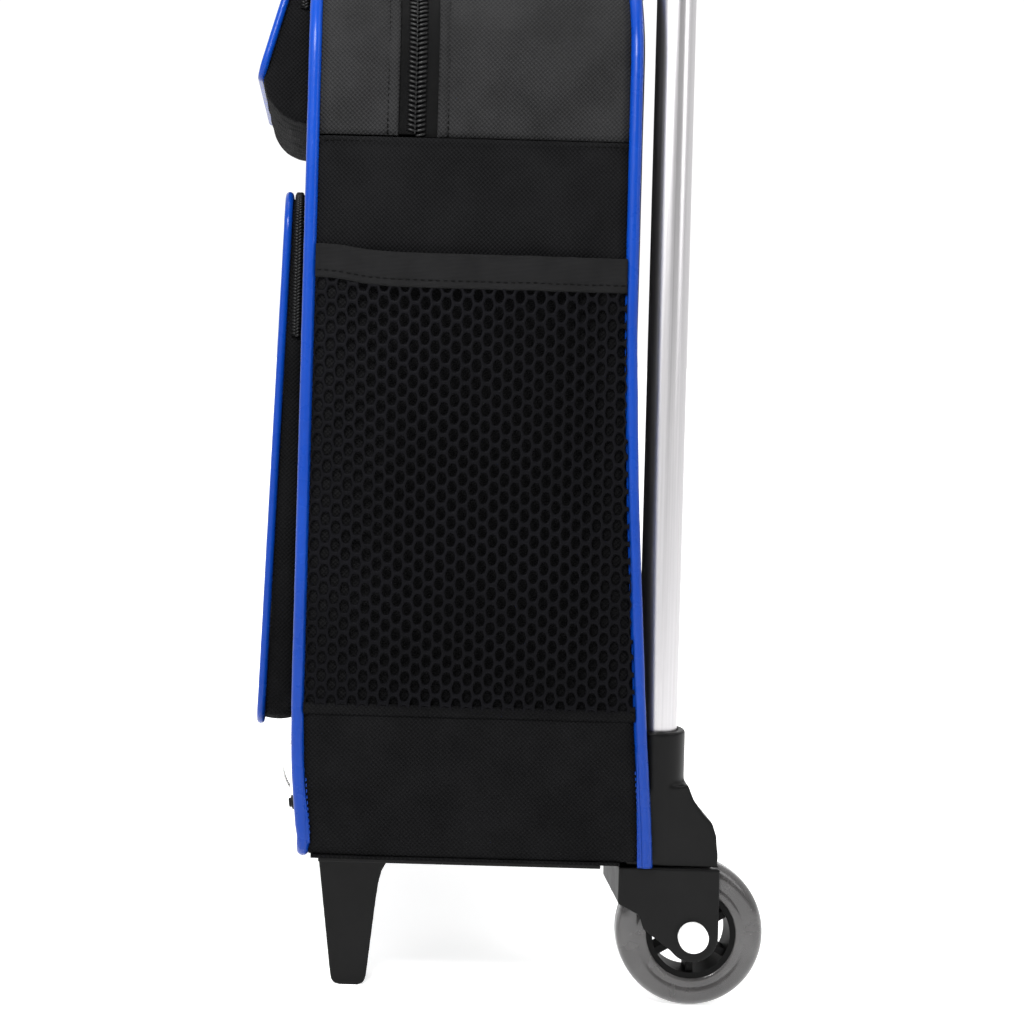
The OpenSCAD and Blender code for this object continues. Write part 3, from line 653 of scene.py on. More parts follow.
MATERIALS = {
    # the black cloth carries a painted shadow where the net hangs over it (shade=True)
    "fabric_black": woven("polyester_black", (0.0010, 0.0010, 0.0012), (0.0052, 0.0052, 0.0056),
                          0.0016, 0.78, spec=0.055, shade=True),
    "piping_blue": plastic("pvc_blue", (0.0010, 0.024, 0.185), (0.0016, 0.037, 0.260), 0.26,
                           grain=260, depth=0.00012, spec=0.18),
    "zip_black": ribbed("zip_tape_black", (0.0012, 0.0012, 0.0013), (0.0035, 0.0035, 0.0036),
                        0.0008, 0.7, spec=0.08),
    "mesh_black": plastic("net_black", (0.0008, 0.0008, 0.0012), (0.0026, 0.0025, 0.0036), 0.6,
                          grain=1400, spec=0.05),
    "binding_grey": ribbed("binding_grey", (0.0030, 0.0030, 0.0032), (0.0092, 0.0092, 0.0096),
                           0.0009, 0.8, spec=0.1),
    "lining_board": woven("lining_grey", (0.035, 0.035, 0.037), (0.06, 0.06, 0.063),
                          0.0005, 0.8),
    "foam_grey": woven("foam_lining", (0.045, 0.045, 0.05), (0.075, 0.075, 0.08), 0.0007, 0.85),
    "moulded_black": plastic("moulded_black", (0.0018, 0.0018, 0.0018), (0.0050, 0.0050, 0.0051),
                             0.34, spec=0.11),
    "tube_silver": brushed("anodised_silver", (0.40, 0.39, 0.40), (0.58, 0.57, 0.58), 0.30),
    "steel_bright": brushed("plated_steel", (0.55, 0.55, 0.56), (0.75, 0.75, 0.76), 0.22,
                            (300, 300, 300)),
    "tyre_clear": clear("urethane_grey", (0.020, 0.019, 0.019), (0.088, 0.084, 0.084), 0.22, 0.35),
    "hub_black": plastic("hub_black", (0.0008, 0.0008, 0.0008), (0.0024, 0.0024, 0.0024), 0.45,
                         spec=0.08),
    "cap_white": plastic("cap_white", (0.86, 0.86, 0.85), (0.93, 0.93, 0.92), 0.4,
                         spec=0.4),
    "zip_metal": brushed("zip_metal", (0.10, 0.10, 0.105), (0.19, 0.19, 0.195), 0.34,
                         (200, 200, 200)),
    "tag_clear": clear("tag_film", (0.55, 0.54, 0.53), (0.75, 0.74, 0.73), 0.12, 0.85),
}
THREAD = plastic("thread_black", (0.0006, 0.0006, 0.0006), (0.0018, 0.0018, 0.0018), 0.6,
                 grain=2000, spec=0.05)
COIL = plastic("zip_coil", (0.0018, 0.0018, 0.0019), (0.0050, 0.0050, 0.0052), 0.4, spec=0.2)
# painted light: a lighter copy of the black cloth on the gussets, standing in for the light from
# above on the bag's top
TOP_LIT_GUSSET = woven("gusset_black_painted_light", (0.0040, 0.0040, 0.0042), (0.0150, 0.0150, 0.0155), 0.0016, 0.72,
               spec=0.10)


# ---------- hard parts ----------

def dress_cad_nodes():
    """Every CAD node that stays gets the material of its slot."""
    for obj in frame["nodes"].values():
        for k, old in enumerate(obj.data.materials):
            slot = old.name.split(".")[0] if old else "moulded_black"
            obj.data.materials[k] = MATERIALS.get(slot, MATERIALS["moulded_black"])


def feet():
    """The moulded front feet, with a round sole and a hollow curve into the base."""
    side = [(-128, 97.5), (-128, 95), (-117.2, 9), (-116.2, 3.6), (-113.9, 0.9), (-110.8, 0),
            (-96.8, 0), (-93.7, 0.9), (-91.7, 3.6), (-90.8, 8), (-85.5, 60), (-83.7, 74),
            (-81.5, 83), (-77.8, 89.5), (-72.8, 93.6), (-67.8, 95.5), (-67.8, 97.5)]
    for s, sign in SIDES:
        obj = new_object("foot_%s_moulded" % s, *prism(side, 161.1 * sign, 188.4 * sign))
        melted(obj, 1.1, 3)
        piece(obj, "root", "moulded_black", nodes=["foot_" + s])


def hard_parts():
    for s, _ in SIDES:
        moulded("rear_bracket_" + s, 1.1, "moulded_black", 10)
        moulded("wheel_fork_" + s, 0.9, "moulded_black", 5)
    moulded("tube_brace", 1.3, "moulded_black", 6)
    moulded("handle_grip", 1.2, "moulded_black", 5)
    moulded("handle_button", 0.6, "moulded_black", 4)
    moulded("bumper_studs", 0.4, "moulded_black", 4)
    moulded("base_tray", 1.6, "moulded_black", 2)


def lathe(profile):
    """Turns (radius, x) points round the X axis into a closed ring."""
    n, sides = len(profile), 96
    verts, faces = [], []
    for i in range(sides):
        a = 2 * math.pi * i / sides
        verts += [(x, r * math.cos(a), r * math.sin(a)) for r, x in profile]
    for i in range(sides):
        j = (i + 1) % sides
        for k in range(n):
            l = (k + 1) % n
            faces.append((i * n + k, i * n + l, j * n + l, j * n + k))
    return np.array(verts), faces


def tyres():
    half = [(31.55, 0), (31.55, 11.4), (32.2, 12.0), (36.6, 12.0), (37.3, 11.4), (38.0, 11.3),
            (38.8, 11.9), (42.5, 12.0)]
    half += [(43 + 9 * math.sin(a), 3 + 9 * math.cos(a)) for a in np.linspace(0.1, 1.5708, 12)]
    half += [(51.98, 1.5)]
    profile = half + [(r, -x) for r, x in half[:0:-1]]
    for s, _ in SIDES:
        verts, faces = lathe(profile)
        low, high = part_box("tyre_" + s)
        centre = np.array((low + high) / 2) / MM
        piece(built("tyre_" + s + "_turned", verts + centre, faces), "wheel_" + s, "tyre_clear",
              nodes=["tyre_" + s])


# ---------- bag body ----------

def side_panels():
    zs = np.concatenate([np.linspace(104.3, 112, 5), np.linspace(116, 598, 110),
                         np.linspace(601, 608.8, 7)])
    us = np.concatenate([np.linspace(0, 0.05, 6), np.linspace(0.065, 0.935, 44),
                         np.linspace(0.95, 1, 6)])
    for s, sign in SIDES:
        z, u = np.meshgrid(zs, us, indexing="ij")
        front = smooth_at(FRONT_LINE, z) + BEAD_R - 0.6
        rear = smooth_at(REAR_LINE, z) - BEAD_R + 0.6
        y = front + (rear - front) * u
        edge = np.minimum(u, 1 - u) * (rear - front)
        x = GUSSET_X - 0.6 + 0 * z
        x -= 2.4 * (1 - ease(edge / 7))
        x -= 1.6 * (1 - ease((z - 104) / 9))
        behind_mesh = ease((z - 196) / 12) * ease((534 - z) / 12)
        x += 0.9 * (1 - behind_mesh) * ease(edge / 50) - 1.2 * behind_mesh * ease(edge / 30)
        x += 0.5 * np.exp(-((z - 606.5) / 2.0) ** 2) - 0.7 * np.exp(-((z - 602.0) / 2.2) ** 2)
        spot = np.stack([0 * z + 3.0 * sign, y, z], -1)
        loose = ease(edge / 18) * ease((608 - z) / 12) * ease((z - 104) / 20)
        x += loose * (rumple(spot, 70, 3.1) * 0.9 + rumple(spot, 26, 7.7) * 0.35)
        x += loose * 1.5 * np.exp(-((y + 67 + (z - 560) * 0.12) / 13) ** 2
                                  - ((z - 560) / 34) ** 2)
        x -= loose * 1.0 * np.exp(-((y + 46 - (z - 560) * 0.1) / 9) ** 2
                                  - ((z - 565) / 30) ** 2)
        x += loose * 1.4 * np.exp(-((y + 24) / 40) ** 2 - ((z - 122) / 12) ** 2)
        x -= loose * 0.8 * np.exp(-((y + 60) / 16) ** 2 - ((z - 150) / 30) ** 2)
        x = np.minimum(x, 229.6)
        obj = built("side_fabric_" + s, *backed(x, y, z, 0, 224.6), sign)
        piece(obj, "root", "fabric_black", nodes=["side_panel_" + s])
        ys = np.linspace(-138, 74, 60)
        path = np.stack([0 * ys + 228.75, ys, 0 * ys + 605.6], -1)
        line = Build()
        stitches(line, path, (1, 0, 0))
        piece(built("seam_stitches_" + s, np.concatenate(line.verts), line.faces, sign), "root",
              "fabric_black", mat=THREAD)


def flap_profile(edge, far):
    """Depths and lifts across a gusset strip, from its piping seam to its folded zip edge."""
    way = 1 if edge > far else -1
    width = abs(edge - far)
    t = np.concatenate([np.linspace(0, 8, 7), np.linspace(10, width - 9, 12),
                        np.linspace(width - 8, width, 12)])
    ys = far + way * t
    lift = -2.6 * (1 - ease(t / 6)) + 0.6 * np.sin(np.clip(t / width, 0, 1) * math.pi)
    from_zip = width - t
    lift = lift + 0.5 * np.exp(-((from_zip - 3.5) / 2.8) ** 2)
    lift = lift - 0.55 * np.exp(-((from_zip - 7.6) / 1.1) ** 2)
    lift = lift - 1.0 * (1 - np.sqrt(np.clip(from_zip / 1.6, 0, 1)))
    thick = np.where(from_zip < 8, 2.2, 3.4) + 0 * t
    thick = np.where(from_zip < 1.6, 1.1, thick)
    return ys, lift, thick


def gussets():
    plans = (("rear_gusset", ZIP_REAR, REAR_Y - BEAD_R + 0.4, SEAM_Z + 0.4, "root",
              ["top_gusset"], 1.9),
             ("lid_gusset", ZIP_FRONT, FRONT_Y + BEAD_R - 0.4, LID_Z, "fold",
              ["lid_gusset"], 4.4))
    for name, edge, far, z0, body, nodes, seed in plans:
        ys, lift, thick = flap_profile(edge, far)
        line = arch_line(GUSSET_X - 0.4, GUSSET_TOP - 0.4, GUSSET_R - 0.4, z0)
        outer, inner = strip(line, ys, lift, thick, wave=0.7, seed=seed)
        sag = 1.4 * np.exp(-((line[:, 1] - z0) / 9) ** 2)
        outer[..., 0] -= (sag * line[:, 2])[:, None] * 0.8
        # the gussets take the lighter copy of the black cloth, painted light from above
        obj = piece(built(name + "_fabric", *slab(outer, inner)), body, "fabric_black",
                    mat=TOP_LIT_GUSSET, nodes=nodes)
        way = 1 if edge > far else -1
        rows = Build()
        stitches(rows, *along_arch(line, edge - way * 7.6, -0.45))
        piece(rows.make(name + "_stitches"), body, "fabric_black", mat=THREAD)


def zip_teeth(build, line, y_mid, way, lift, pitch=3.4, width=COIL_W, gap=COIL_GAP / 2):
    """Half a coil zip: a row of bent nylon loops, each reaching in from the tape."""
    path, ups = along_arch(line, y_mid, lift)
    gaps = np.linalg.norm(np.diff(path, axis=0), axis=1)
    along = np.concatenate([[0], np.cumsum(gaps)])
    count = int(along[-1] / pitch)
    for i in range(count):
        mark = (i + (0.25 if way > 0 else 0.75)) * along[-1] / count
        at = np.array([np.interp(mark, along, path[:, k]) for k in range(3)])
        ahead = np.array([np.interp(mark + 0.5, along, path[:, k]) for k in range(3)]) - at
        ahead /= max(np.linalg.norm(ahead), 1e-9)
        up = np.array([np.interp(mark, along, ups[:, k]) for k in range(3)])
        up /= np.linalg.norm(up)
        across = np.array((0, way, 0.0))
        spine = [at + across * (gap + d * width) + ahead * a * pitch + up * h
                 for d, a, h in ((0.98, 0.40, -1.9), (1.0, 0.36, -0.9), (0.86, 0.30, -0.1),
                                 (0.5, 0.14, 0.1), (0.14, 0.0, 0.0), (0.0, -0.05, -0.5),
                                 (0.02, -0.05, -1.2))]
        build.add(*tube(spine, [0.85, 1.0, 1.05, 1.0, 1.05, 1.1, 0.9], sides=7))


def main_zip():
    for name, way, edge, z0, body, node in (
            ("zip_half_rear", 1, ZIP_REAR, SEAM_Z + 0.5, "root", "zip_tape_rear"),
            ("zip_half_front", -1, ZIP_FRONT, LID_Z + 1, "fold", "zip_tape_front")):
        line = arch_line(GUSSET_X, GUSSET_TOP, GUSSET_R, z0)
        near = ZIP_Y + way * (COIL_GAP / 2 + 0.4)
        ys = np.linspace(near, edge + way, 9)
        lift = np.interp(np.abs(ys - near), [0, 5, 7, 10, 15], [-2.9, -2.9, -3.6, -3.4, -2.6])
        outer, inner = strip(line, ys, lift, 0 * ys + 0.9, wave=0.12)
        piece(built(name + "_tape", *slab(outer, inner)), body, "zip_black", nodes=[node])
        teeth = Build()
        zip_teeth(teeth, line, ZIP_Y, way, -1.5)
        piece(teeth.make(name + "_coil"), body, "zip_black", mat=COIL)
    cord = arch_line(GUSSET_X - 1.2, GUSSET_TOP - 1.2, GUSSET_R - 1.2, LID_Z + 1)
    seam = Build()
    stitches(seam, *along_arch(cord, ZIP_Y - 1.0, 0), pitch=3.4, length=3.2, r=0.5)
    piece(seam.make("zip_core_stitches"), "fold", "zip_black", mat=COIL)


def flat_rows(z0, top, r, half_w, count):
    """Heights with the half width of an arch outline at each, closer together at the top."""
    zs = np.concatenate([np.linspace(z0, top - r, count)[:-1],
                         top - r + r * np.sin(np.linspace(0, math.pi / 2, 16))])
    over = np.clip(zs - (top - r), 0, r)
    return zs, half_w - r + np.sqrt(np.maximum(r * r - over * over, 0))


def flat_panel(name, depth_of, zs, widths, thick, face, body, nodes, swell, seed,
               round_foot=False):
    """A front or back panel; depth_of(z) is its outer face, and face is -1 for the front."""
    us = np.sin(np.linspace(-math.pi / 2, math.pi / 2, 57))
    z, u = np.meshgrid(zs, us, indexing="ij")
    x = widths[:, None] * u
    edge = np.minimum(widths[:, None] * (1 - np.abs(u)), zs[-1] - z + 2)
    edge = np.minimum(edge, np.where(z < zs[0] + 30, (z - zs[0]) if round_foot else 99, 99) + 0.5)
    y = depth_of(z) + 0 * x
    spot = np.stack([x, 0 * x + 50 * face, z], -1)
    loose = ease(edge / 25)
    lift = -2.6 * (1 - ease(edge / 8)) + swell * ease(edge / 90)
    lift = lift + loose * (rumple(spot, 80, seed) * 1.1 + rumple(spot, 30, seed + 5) * 0.4)
    panel = backed(x, y + face * lift, z, 1, y - face * thick)
    obj = piece(built(name, *panel), body, "fabric_black", nodes=nodes, weld=0.01)
    return obj


def front_and_back():
    zs = np.concatenate([np.linspace(109.6, 118, 5), np.linspace(124, 598, 60),
                         np.linspace(602, 608.8, 4)])
    widths = FLAT_W + 0 * zs
    flat_panel("front_fabric", lambda z: smooth_at(FRONT_LINE, z) - 3.2, zs, widths, 3.6, -1,
               "root", ["front_panel"], 0.2, 11.0, round_foot=True)
    zs, widths = flat_rows(LID_Z + 0.2, FLAT_TOP, FLAT_R, FLAT_W, 18)
    flat_panel("lid_fabric", lambda z: FRONT_FACE + 0.2 + 0 * z, zs, widths, 3.6, -1,
               "fold", ["lid_panel"], 0.2, 14.0)
    zs, widths = flat_rows(BASE_Z + 6, FLAT_TOP, FLAT_R, FLAT_W, 76)
    flat_panel("back_fabric", lambda z: BACK_FACE - 0.4 + 0 * z, zs, widths, 3.4, 1,
               "root", ["back_panel"], 0.6, 17.0)
    skirt()


def skirt():
    """The strip that joins the back panel to the flared rear piping on each side."""
    zs = np.linspace(106, 660, 90)
    ts = np.linspace(0, 1, 9)
    build = Build()
    z, t = np.meshgrid(zs, ts, indexing="ij")
    rear = smooth_at(REAR_LINE, z) + 0.8
    x = FLAT_W - 4 + (BEAD_X - 1.5 - FLAT_W + 4) * t
    y = (BACK_FACE - 1.4) * (1 - ease(t)) + rear * ease(t)
    outer = np.stack([x, y, z], -1)
    inner = outer - (1.2, 1.2, 0)
    for _, sign in SIDES:
        build.mirrored(*slab(outer, inner), sign)
    piece(build.make("back_skirt"), "root", "fabric_black")


def bottom_panel():
    us = np.sin(np.linspace(-math.pi / 2, math.pi / 2, 41))
    ys = np.linspace(-133.5, 83.5, 30)
    y, u = np.meshgrid(ys, us, indexing="ij")
    x = 228 * u
    edge = np.minimum(228 * (1 - np.abs(u)), np.minimum(y + 133.5, 83.5 - y))
    z = 100.2 + 1.6 * (1 - ease(edge / 6)) + 0 * x
    obj = piece(built("base_fabric", *backed(x, y, z, 2, 103.9)), "root", "fabric_black",
                nodes=["base_panel"])


# ---------- piping ----------

def bead(build, path, r, closed=False, seed=0.0):
    path = spaced(path, 3.0)
    if closed:
        path = path[:-1]
    uneven = 1 + 0.025 * rumple(path, 11, seed) + 0.012 * rumple(path, 5, seed + 3)
    push = rumple(path, 34, seed + 8)[:, None] * (0.35, 0, 0) * (r / 4.5)
    build.add(*tube(path + push, r * uneven, sides=16, closed=closed))


def front_bead_path():
    half = [(0, -139, 104.5)]
    half += [(213.5 + 12 * math.cos(a), -139, 116.5 + 12 * math.sin(a))
             for a in np.linspace(-math.pi / 2, 0, 9)]
    half += [(BEAD_X, float(smooth_at(FRONT_LINE, z)), z) for z in np.arange(124, 606, 8)]
    half += [(BEAD_X, FRONT_Y, SEAM_Z)]
    return [(-x, y, z) for x, y, z in half[:0:-1]] + half


def arch_bead_path(z0, y):
    line = arch_line(BEAD_X, BEAD_TOP, BEAD_CORNER, z0, 4)
    return [(x, y, z) for x, z, _, _ in line]


def rear_bead_path():
    line = arch_line(BEAD_X, BEAD_TOP, BEAD_CORNER, BASE_Z + 1, 6)
    return [(x, float(smooth_at(REAR_LINE, z)), z) for x, z, _, _ in line]


def main_pipings():
    whole = front_bead_path() + arch_bead_path(SEAM_Z + 2, FRONT_Y)
    plans = (("front_bead", whole, True, "fold", 0.0, ["front_piping", "lid_piping"]),
             ("rear_bead", rear_bead_path(), False, "root", 40.0, ["rear_piping"]))
    for name, path, closed, body, seed, nodes in plans:
        build = Build()
        bead(build, path + path[:1] if closed else path, BEAD_R, closed=closed, seed=seed)
        piece(build.make(name), body, "piping_blue", nodes=nodes)
    flanges()


def flanges():
    """The piping's flat tail, which shows beside the bead where the panels flare near the foot."""
    build, thread = Build(), Build()
    plans = ((REAR_LINE, 101, 215, 3.2, -1), (FRONT_LINE, 112, 190, 2.0, 1))
    for line, z0, z1, wide, way in plans:
        zs = np.linspace(z0, z1, 36)
        ts = np.linspace(0, 1, 5)
        z, t = np.meshgrid(zs, ts, indexing="ij")
        width = wide * ease((z1 - z) / (z1 - z0))
        y = smooth_at(line, z) + way * (BEAD_R - 1.2 + width * t)
        x = 228.9 - 0.7 * t ** 2 + 0 * z
        outer = np.stack([x, y, z], -1)
        inner = outer - (1.6, 0, 0)
        row = Build()
        zs = np.linspace(z0 + 6, z0 + 0.6 * (z1 - z0), 12)
        path = np.stack([0 * zs + 229.0, smooth_at(line, zs) + way * (BEAD_R + 0.9), zs], -1)
        stitches(row, path, (1, 0, 0), pitch=4.0, length=2.6, r=0.32)
        for _, sign in SIDES:
            build.mirrored(*slab(outer, inner), sign)
            thread.mirrored(np.concatenate(row.verts), row.faces, sign)
    piece(build.make("piping_tails"), "root", "piping_blue")
    piece(thread.make("piping_tail_stitches"), "root", "piping_blue")


# ---------- mesh pockets ----------

def mesh_x(y, z):
    """How far out the net stands at a point."""
    reach = 804.5
    bow = 238 - reach + np.sqrt(reach ** 2 - (y + 24) ** 2) - 229.2
    near = smooth_at(FRONT_LINE, z) + BEAD_R
    far = smooth_at(REAR_LINE, z) - BEAD_R
    edge = np.minimum(y - near, far - y)
    grow = ease((z - MESH_BOTTOM - 2) / 70) * ease(edge / 60) * (0.78 + 0.22 * ease((z - 380) / 90))
    wrinkle = 0.5 * np.sin(z / 31.0 + y / 55.0) * ease(edge / 30)
    return 229.5 + bow * grow + wrinkle * grow


def nets():
    dx, dy = 7.3, 12.2
    a, b = 4.55, 2.75
    ring = [(a, 0), ((a + b) / 2, dy / 4), (b, dy / 2), (0, dy / 2), (-b, dy / 2),
            (-(a + b) / 2, dy / 4), (-a, 0), (-(a + b) / 2, -dy / 4), (-b, -dy / 2), (0, -dy / 2),
            (b, -dy / 2), ((a + b) / 2, -dy / 4)]
    ring = np.array(ring)
    angle = np.arctan2(ring[:, 1] / 4.6, ring[:, 0] / 3.05)
    hole = np.stack([3.05 * np.cos(angle), 4.6 * np.sin(angle)], -1)
    mid = ring * 0.55 + hole * 0.45
    for s, sign in SIDES:
        verts, faces, known = [], [], {}

        def corner(y, z, lift):
            key = (round(y, 2), round(z, 2), lift)
            if key not in known:
                known[key] = len(verts)
                verts.append((y, z, lift))
            return known[key]

        for i in range(-1, 35):
            for j in range(-1, 26):
                cy = -144 + i * dx
                cz = MESH_BOTTOM - 2 + j * dy + (dy / 2 if i % 2 else 0)
                near = float(smooth_at(FRONT_LINE, cz)) + 2
                far = float(smooth_at(REAR_LINE, cz)) - 2
                if cy < near or cy > far or not MESH_BOTTOM - 4 < cz < MESH_TOP + 12:
                    continue
                rows = []
                for shape, lift in ((hole, 0.0), (mid, 0.38), (ring, 0.5), (mid, -0.38),
                                    (ring, -0.5)):
                    rows.append([corner(cy + p[0], cz + p[1], lift) for p in shape])
                inner, up, top, down, low = rows
                for k in range(12):
                    l = (k + 1) % 12
                    faces += [(inner[k], inner[l], up[l], up[k]), (up[k], up[l], top[l], top[k]),
                              (inner[l], inner[k], down[k], down[l]),
                              (down[l], down[k], low[k], low[l])]
        v = np.array(verts)
        near = smooth_at(FRONT_LINE, v[:, 1]) + BEAD_R - 0.8
        far = smooth_at(REAR_LINE, v[:, 1]) - BEAD_R + 0.8
        y = np.clip(v[:, 0], near, far)
        z = np.clip(v[:, 1], MESH_BOTTOM - 2, MESH_TOP + 8)
        points = np.stack([mesh_x(y, z) + v[:, 2], y, z], -1)
        obj = piece(built("net_" + s, points, faces, sign), "root", "mesh_black",
                    nodes=["mesh_pocket_" + s], weld=0.05)
        bind = binding(s, sign)
        hem = net_hem(s, sign)


def net_hem(s, sign):
    """The side fabric folded over the net's foot."""
    us = np.linspace(0, 1, 50)
    ts = np.linspace(0, 1, 9)
    u, t = np.meshgrid(us, ts, indexing="ij")
    z = MESH_BOTTOM - 5 + 8 * t
    near = smooth_at(FRONT_LINE, z) + BEAD_R - 0.6
    far = smooth_at(REAR_LINE, z) - BEAD_R + 0.6
    y = near + (far - near) * u
    x = 228.6 + 1.5 * np.sin(np.clip(t, 0, 1) * math.pi) ** 0.5
    x = x + 0.25 * rumple(np.stack([0 * y, y, z], -1), 14, 2)
    hem = built("net_hem_" + s, *backed(x, y, z, 0, 227.8), sign)
    return piece(hem, "root", "fabric_black")


def binding(s, sign):
    """The folded grey tape along the net pocket's mouth, a little raised at its front end."""
    us = np.linspace(0, 1, 70)
    ts = np.linspace(0, 1, 15)
    u, t = np.meshgrid(us, ts, indexing="ij")
    near = FRONT_Y + BEAD_R - 0.4
    far = smooth_at(REAR_LINE, 515.0) - BEAD_R + 0.4
    y = near + (far - near) * u
    raised = 6.0 * np.exp(-((y - near) / 34) ** 2) + 0.35 * rumple(
        np.stack([0 * y, y, 0 * y], -1), 19, 5)
    shrink = 0.6 * np.exp(-((y - near) / 20) ** 2)
    z = MESH_TOP + 0.8 + raised + (BINDING_H - 1.2 - shrink) * t
    bulge = np.sqrt(np.clip(np.sin(t * math.pi), 0, 1)) * 0.8
    dent = 0.5 * np.exp(-((t - 0.2) / 0.045) ** 2)
    lay = mesh_x(y, 0 * z + MESH_TOP + 10)
    ripple = 0.5 * rumple(np.stack([0 * y, y, z], -1), 22, 8)
    outer = np.stack([lay + 0.6 + bulge - dent + ripple, y, z], -1)
    inner = np.stack([lay - 0.7 + ripple, y, z], -1)
    nodes = ["mesh_bindings"] if s == "r" else []
    obj = piece(built("net_binding_" + s, *slab(outer, inner), sign), "root", "binding_grey",
                nodes=nodes)
    row = Build()
    stitched = outer[:, 3] + (0.15, 0, 0)
    stitches(row, stitched, (1, 0, 0), pitch=5.2, length=3.6, r=0.42)
    piece(built("binding_stitches_" + s, np.concatenate(row.verts), row.faces, sign), "root",
          "binding_grey", mat=THREAD)
    return obj


# ---------- front pockets ----------

def rect_loop(half_w, z0, z1, r):
    """A rounded rectangle in X and Z, once round from the right side's foot."""
    points, steps = [], 9
    for cx, cz, a0 in ((half_w - r, z1 - r, 0), (-(half_w - r), z1 - r, 90),
                       (-(half_w - r), z0 + r, 180), (half_w - r, z0 + r, 270)):
        for k in range(steps + 1):
            a = math.radians(a0 + 90 * k / steps)
            points.append((cx + r * math.cos(a), cz + r * math.sin(a)))
    return points


def lower_place(x, y, z):
    """Where a point of the lower pocket's own frame lies; its front face is y = 0 there."""
    c, s = math.cos(-LOWER_LEAN), math.sin(-LOWER_LEAN)
    dz = z - LOWER_Z0
    y = y + 2.6 * math.sin(math.pi * min(max(dz / (LOWER_Z1 - LOWER_Z0), 0), 1)) ** 1.5
    return (x, FRONT_FACE - LOWER_DEPTH + y * c - dz * s, LOWER_Z0 + y * s + dz * c)


def pocket_body(name, outline, front_of, back_y):
    """A closed body between a front outline and the same outline at the bag's face."""
    n = len(outline)
    verts = [front_of(x, z) for x, z in outline] + [(x, back_y, z) for x, z in outline]
    faces = [tuple(range(n - 1, -1, -1)), tuple(range(n, 2 * n))]
    faces += [(k, (k + 1) % n, n + (k + 1) % n, n + k) for k in range(n)]
    return melted(new_object(name, verts, faces), 5, 0)


def coords(obj):
    co = np.zeros(len(obj.data.vertices) * 3)
    obj.data.vertices.foreach_get("co", co)
    return co.reshape(-1, 3) / MM


def far_from(points, line):
    """Distance of each point from the nearest point of a line."""
    line = spaced(line, 4)
    best = np.full(len(points), 1e9)
    for p in line:
        best = np.minimum(best, np.linalg.norm(points - p, axis=1))
    return best


def subdivided(obj):
    sub = obj.modifiers.new("sub", "SUBSURF")
    sub.levels = sub.render_levels = 1
    return finished_mesh(obj)


def sewn_pocket(node, obj, rim, zip_line, body, seed):
    """Swells a pocket's fabric between its piping and the bag, and adds its piping and zip."""
    rim = rim + rim[:1]
    points = coords(obj)
    pinned = np.nonzero((far_from(points, rim) < RIM_HELD)
                        | (points[:, 1] > FRONT_FACE - BACK_HELD))[0]
    inflate(obj, pinned)
    subdivided(obj)
    obj = piece(obj, body, "fabric_black", nodes=[node])
    build = Build()
    bead(build, rim, POCKET_BEAD, closed=True, seed=seed)
    piece(build.make(node + "_bead"), body, "piping_blue", nodes=[node + "_piping"])
    pocket_zip(node + "_zip", zip_line, body)


def lower_pocket():
    inset = 1.2
    outline = rect_loop(LOWER_W - inset, LOWER_Z0 + inset, LOWER_Z1 - inset, LOWER_R - inset)
    obj = pocket_body("lower_pocket_fabric", outline,
                      lambda x, z: lower_place(x, 0.8, z), FRONT_FACE + 0.3)
    rim = [lower_place(x, 0, z) for x, z in rect_loop(LOWER_W, LOWER_Z0, LOWER_Z1, LOWER_R)]
    line = arch_line(LOWER_W + 0.6, LOWER_Z1 + 1.0, LOWER_R + 0.6, LOWER_ZIP_FOOT, 4)
    sewn_pocket("lower_pocket", obj, rim, line, "root", 120)


def pocket_zip(node, line, body):
    """A closed coil zip in the pocket's side wall, beside the bag's face."""
    mid = POCKET_ZIP_BACK - POCKET_ZIP_W / 2
    ys = np.linspace(mid - 3.4, mid + 3.4, 7)
    outer, inner = strip(line, ys, np.array([-0.5, 0.1, 0.25, 0.3, 0.25, 0.1, -0.5]),
                         0 * ys + 0.9, wave=0.08)
    piece(built(node + "_tape", *slab(outer, inner)), body, "zip_black", nodes=[node])
    teeth = Build()
    for way in (-1, 1):
        zip_teeth(teeth, line, mid, way, 0.75, pitch=2.3, width=2.0, gap=0.1)
    piece(teeth.make(node + "_coil"), body, "zip_black", mat=COIL)


def upper_pocket():
    middle = FRONT_FACE - UPPER_DEPTH + UPPER_UNDER
    ts = np.linspace(0, 1, 14)
    side = [(FRONT_FACE - UPPER_TOP_DEPTH - (UPPER_DEPTH - UPPER_TOP_DEPTH) * t + 0.8,
             UPPER_TOP_Z - 1 - (UPPER_TOP_Z - 1 - UPPER_BELLY_Z) * t) for t in ts]
    side += [(middle - (UPPER_UNDER - 0.8) * math.cos(a),
              UPPER_BELLY_Z - (UPPER_UNDER - 0.8) * math.sin(a))
             for a in np.linspace(0.1, math.pi / 2, 12)]
    side += [(FRONT_FACE + 0.3, UPPER_BELLY_Z - UPPER_UNDER + 0.8),
             (FRONT_FACE + 0.3, UPPER_TOP_Z - 1)]
    half = UPPER_W - 1.2
    obj = melted(new_object("upper_pocket_fabric", *prism(side, half, -half)), 5, 0)
    lean = math.atan((UPPER_DEPTH - UPPER_TOP_DEPTH) / (UPPER_TOP_Z - UPPER_BELLY_Z))
    run = (UPPER_TOP_Z - UPPER_BELLY_Z) / math.cos(lean)
    rim = [(x, FRONT_FACE - UPPER_DEPTH + t * math.sin(lean), UPPER_BELLY_Z + t * math.cos(lean))
           for x, t in rect_loop(UPPER_W, 0, run, 14)]
    line = arch_line(UPPER_W + 0.4, UPPER_TOP_Z + 0.4, 3, UPPER_ZIP_FOOT, 4)
    sewn_pocket("upper_pocket", obj, rim, line, "fold", 160)


# ---------- grab handle and inside ----------

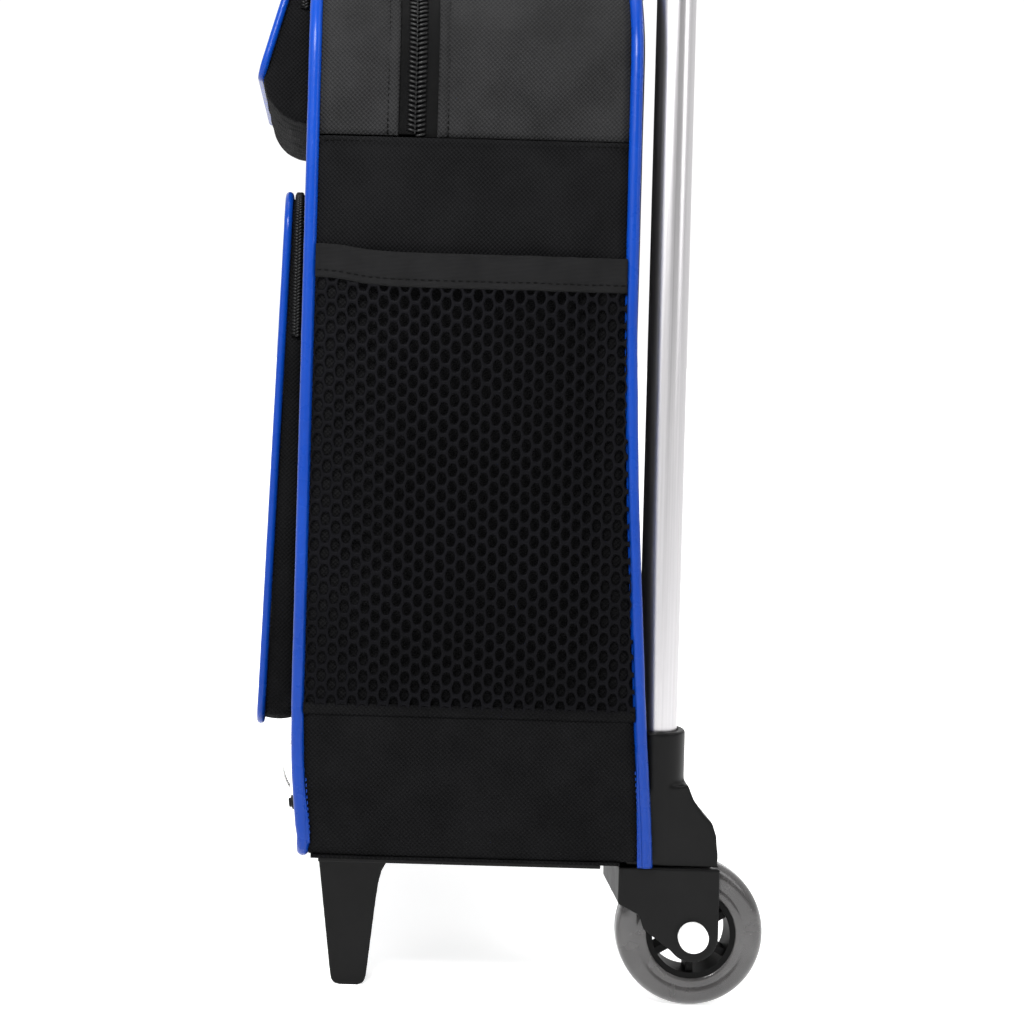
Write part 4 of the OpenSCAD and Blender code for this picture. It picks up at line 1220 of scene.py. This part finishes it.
def grab_handle():
    span, rise = 75.0, 28.0
    r = (span * span + rise * rise) / (2 * rise)
    half = math.asin(span / r)
    xs, zs = [], []
    for x in np.linspace(-112, -span - 4, 14):
        xs.append(x)
        zs.append(GUSSET_TOP + 1.6)
    for a in np.linspace(-half * 0.97, half * 0.97, 48):
        xs.append(r * math.sin(a))
        zs.append(GUSSET_TOP + rise - r + r * math.cos(a) + 1.5)
    for x in np.linspace(span + 4, 112, 14):
        xs.append(x)
        zs.append(GUSSET_TOP + 1.6)
    path = softened([(x, 0, z) for x, z in zip(xs, zs)], 2)
    ts = np.linspace(-1, 1, 13)
    outer = np.zeros((len(path), len(ts), 3))
    inner = np.zeros_like(outer)
    ahead = np.gradient(path, axis=0)
    ahead /= np.linalg.norm(ahead, axis=1)[:, None]
    up = np.stack([-ahead[:, 2], 0 * ahead[:, 0], ahead[:, 0]], -1)
    grip = ease((46 - np.abs(path[:, 0])) / 8)
    for j, q in enumerate(ts):
        width = 12.3 - 3.2 * grip
        thick = 1.25 + 2.4 * grip * math.sqrt(max(1 - q * q * 0.8, 0))
        thick *= 1 - 0.35 * abs(q) ** 6
        for part, way in ((outer, 1), (inner, -1)):
            part[:, j] = path + up * (way * thick)[:, None]
            part[:, j, 1] = 10.5 + q * width
    obj = piece(built("grab_handle_webbing", *slab(outer, inner)), "root", "fabric_black",
                mat=ribbed("webbing_black", (0.008, 0.008, 0.0085), (0.018, 0.018, 0.019),
                           0.0013, 0.65, axis="u", depth=0.0003), nodes=["grab_handle"])
    rows = Build()
    for _, sign in SIDES:
        x0, x1, top = 84 * sign, 108 * sign, GUSSET_TOP + 3.0
        box = [(x0, 0.8, top), (x1, 0.8, top), (x1, 20.2, top), (x0, 20.2, top), (x0, 0.8, top),
               (x1, 20.2, top)]
        for a, b in list(zip(box, box[1:])) + [((x1, 0.8, top), (x0, 20.2, top))]:
            stitches(rows, spaced([a, b], 3), (0, 0, 1), pitch=3.2, length=2.4, r=0.35)
    piece(rows.make("grab_handle_stitches"), "root", "fabric_black", mat=THREAD)


def inside():
    moulded("ball_cradle", 3.2, "foam_grey", 6)
    moulded("back_board", 2.4, "lining_board", 2)


make_camera()
make_stage()
dress_cad_nodes()
hard_parts()
feet()
tyres()
side_panels()
gussets()
main_zip()
front_and_back()
bottom_panel()
main_pipings()
nets()
lower_pocket()
upper_pocket()
grab_handle()
inside()
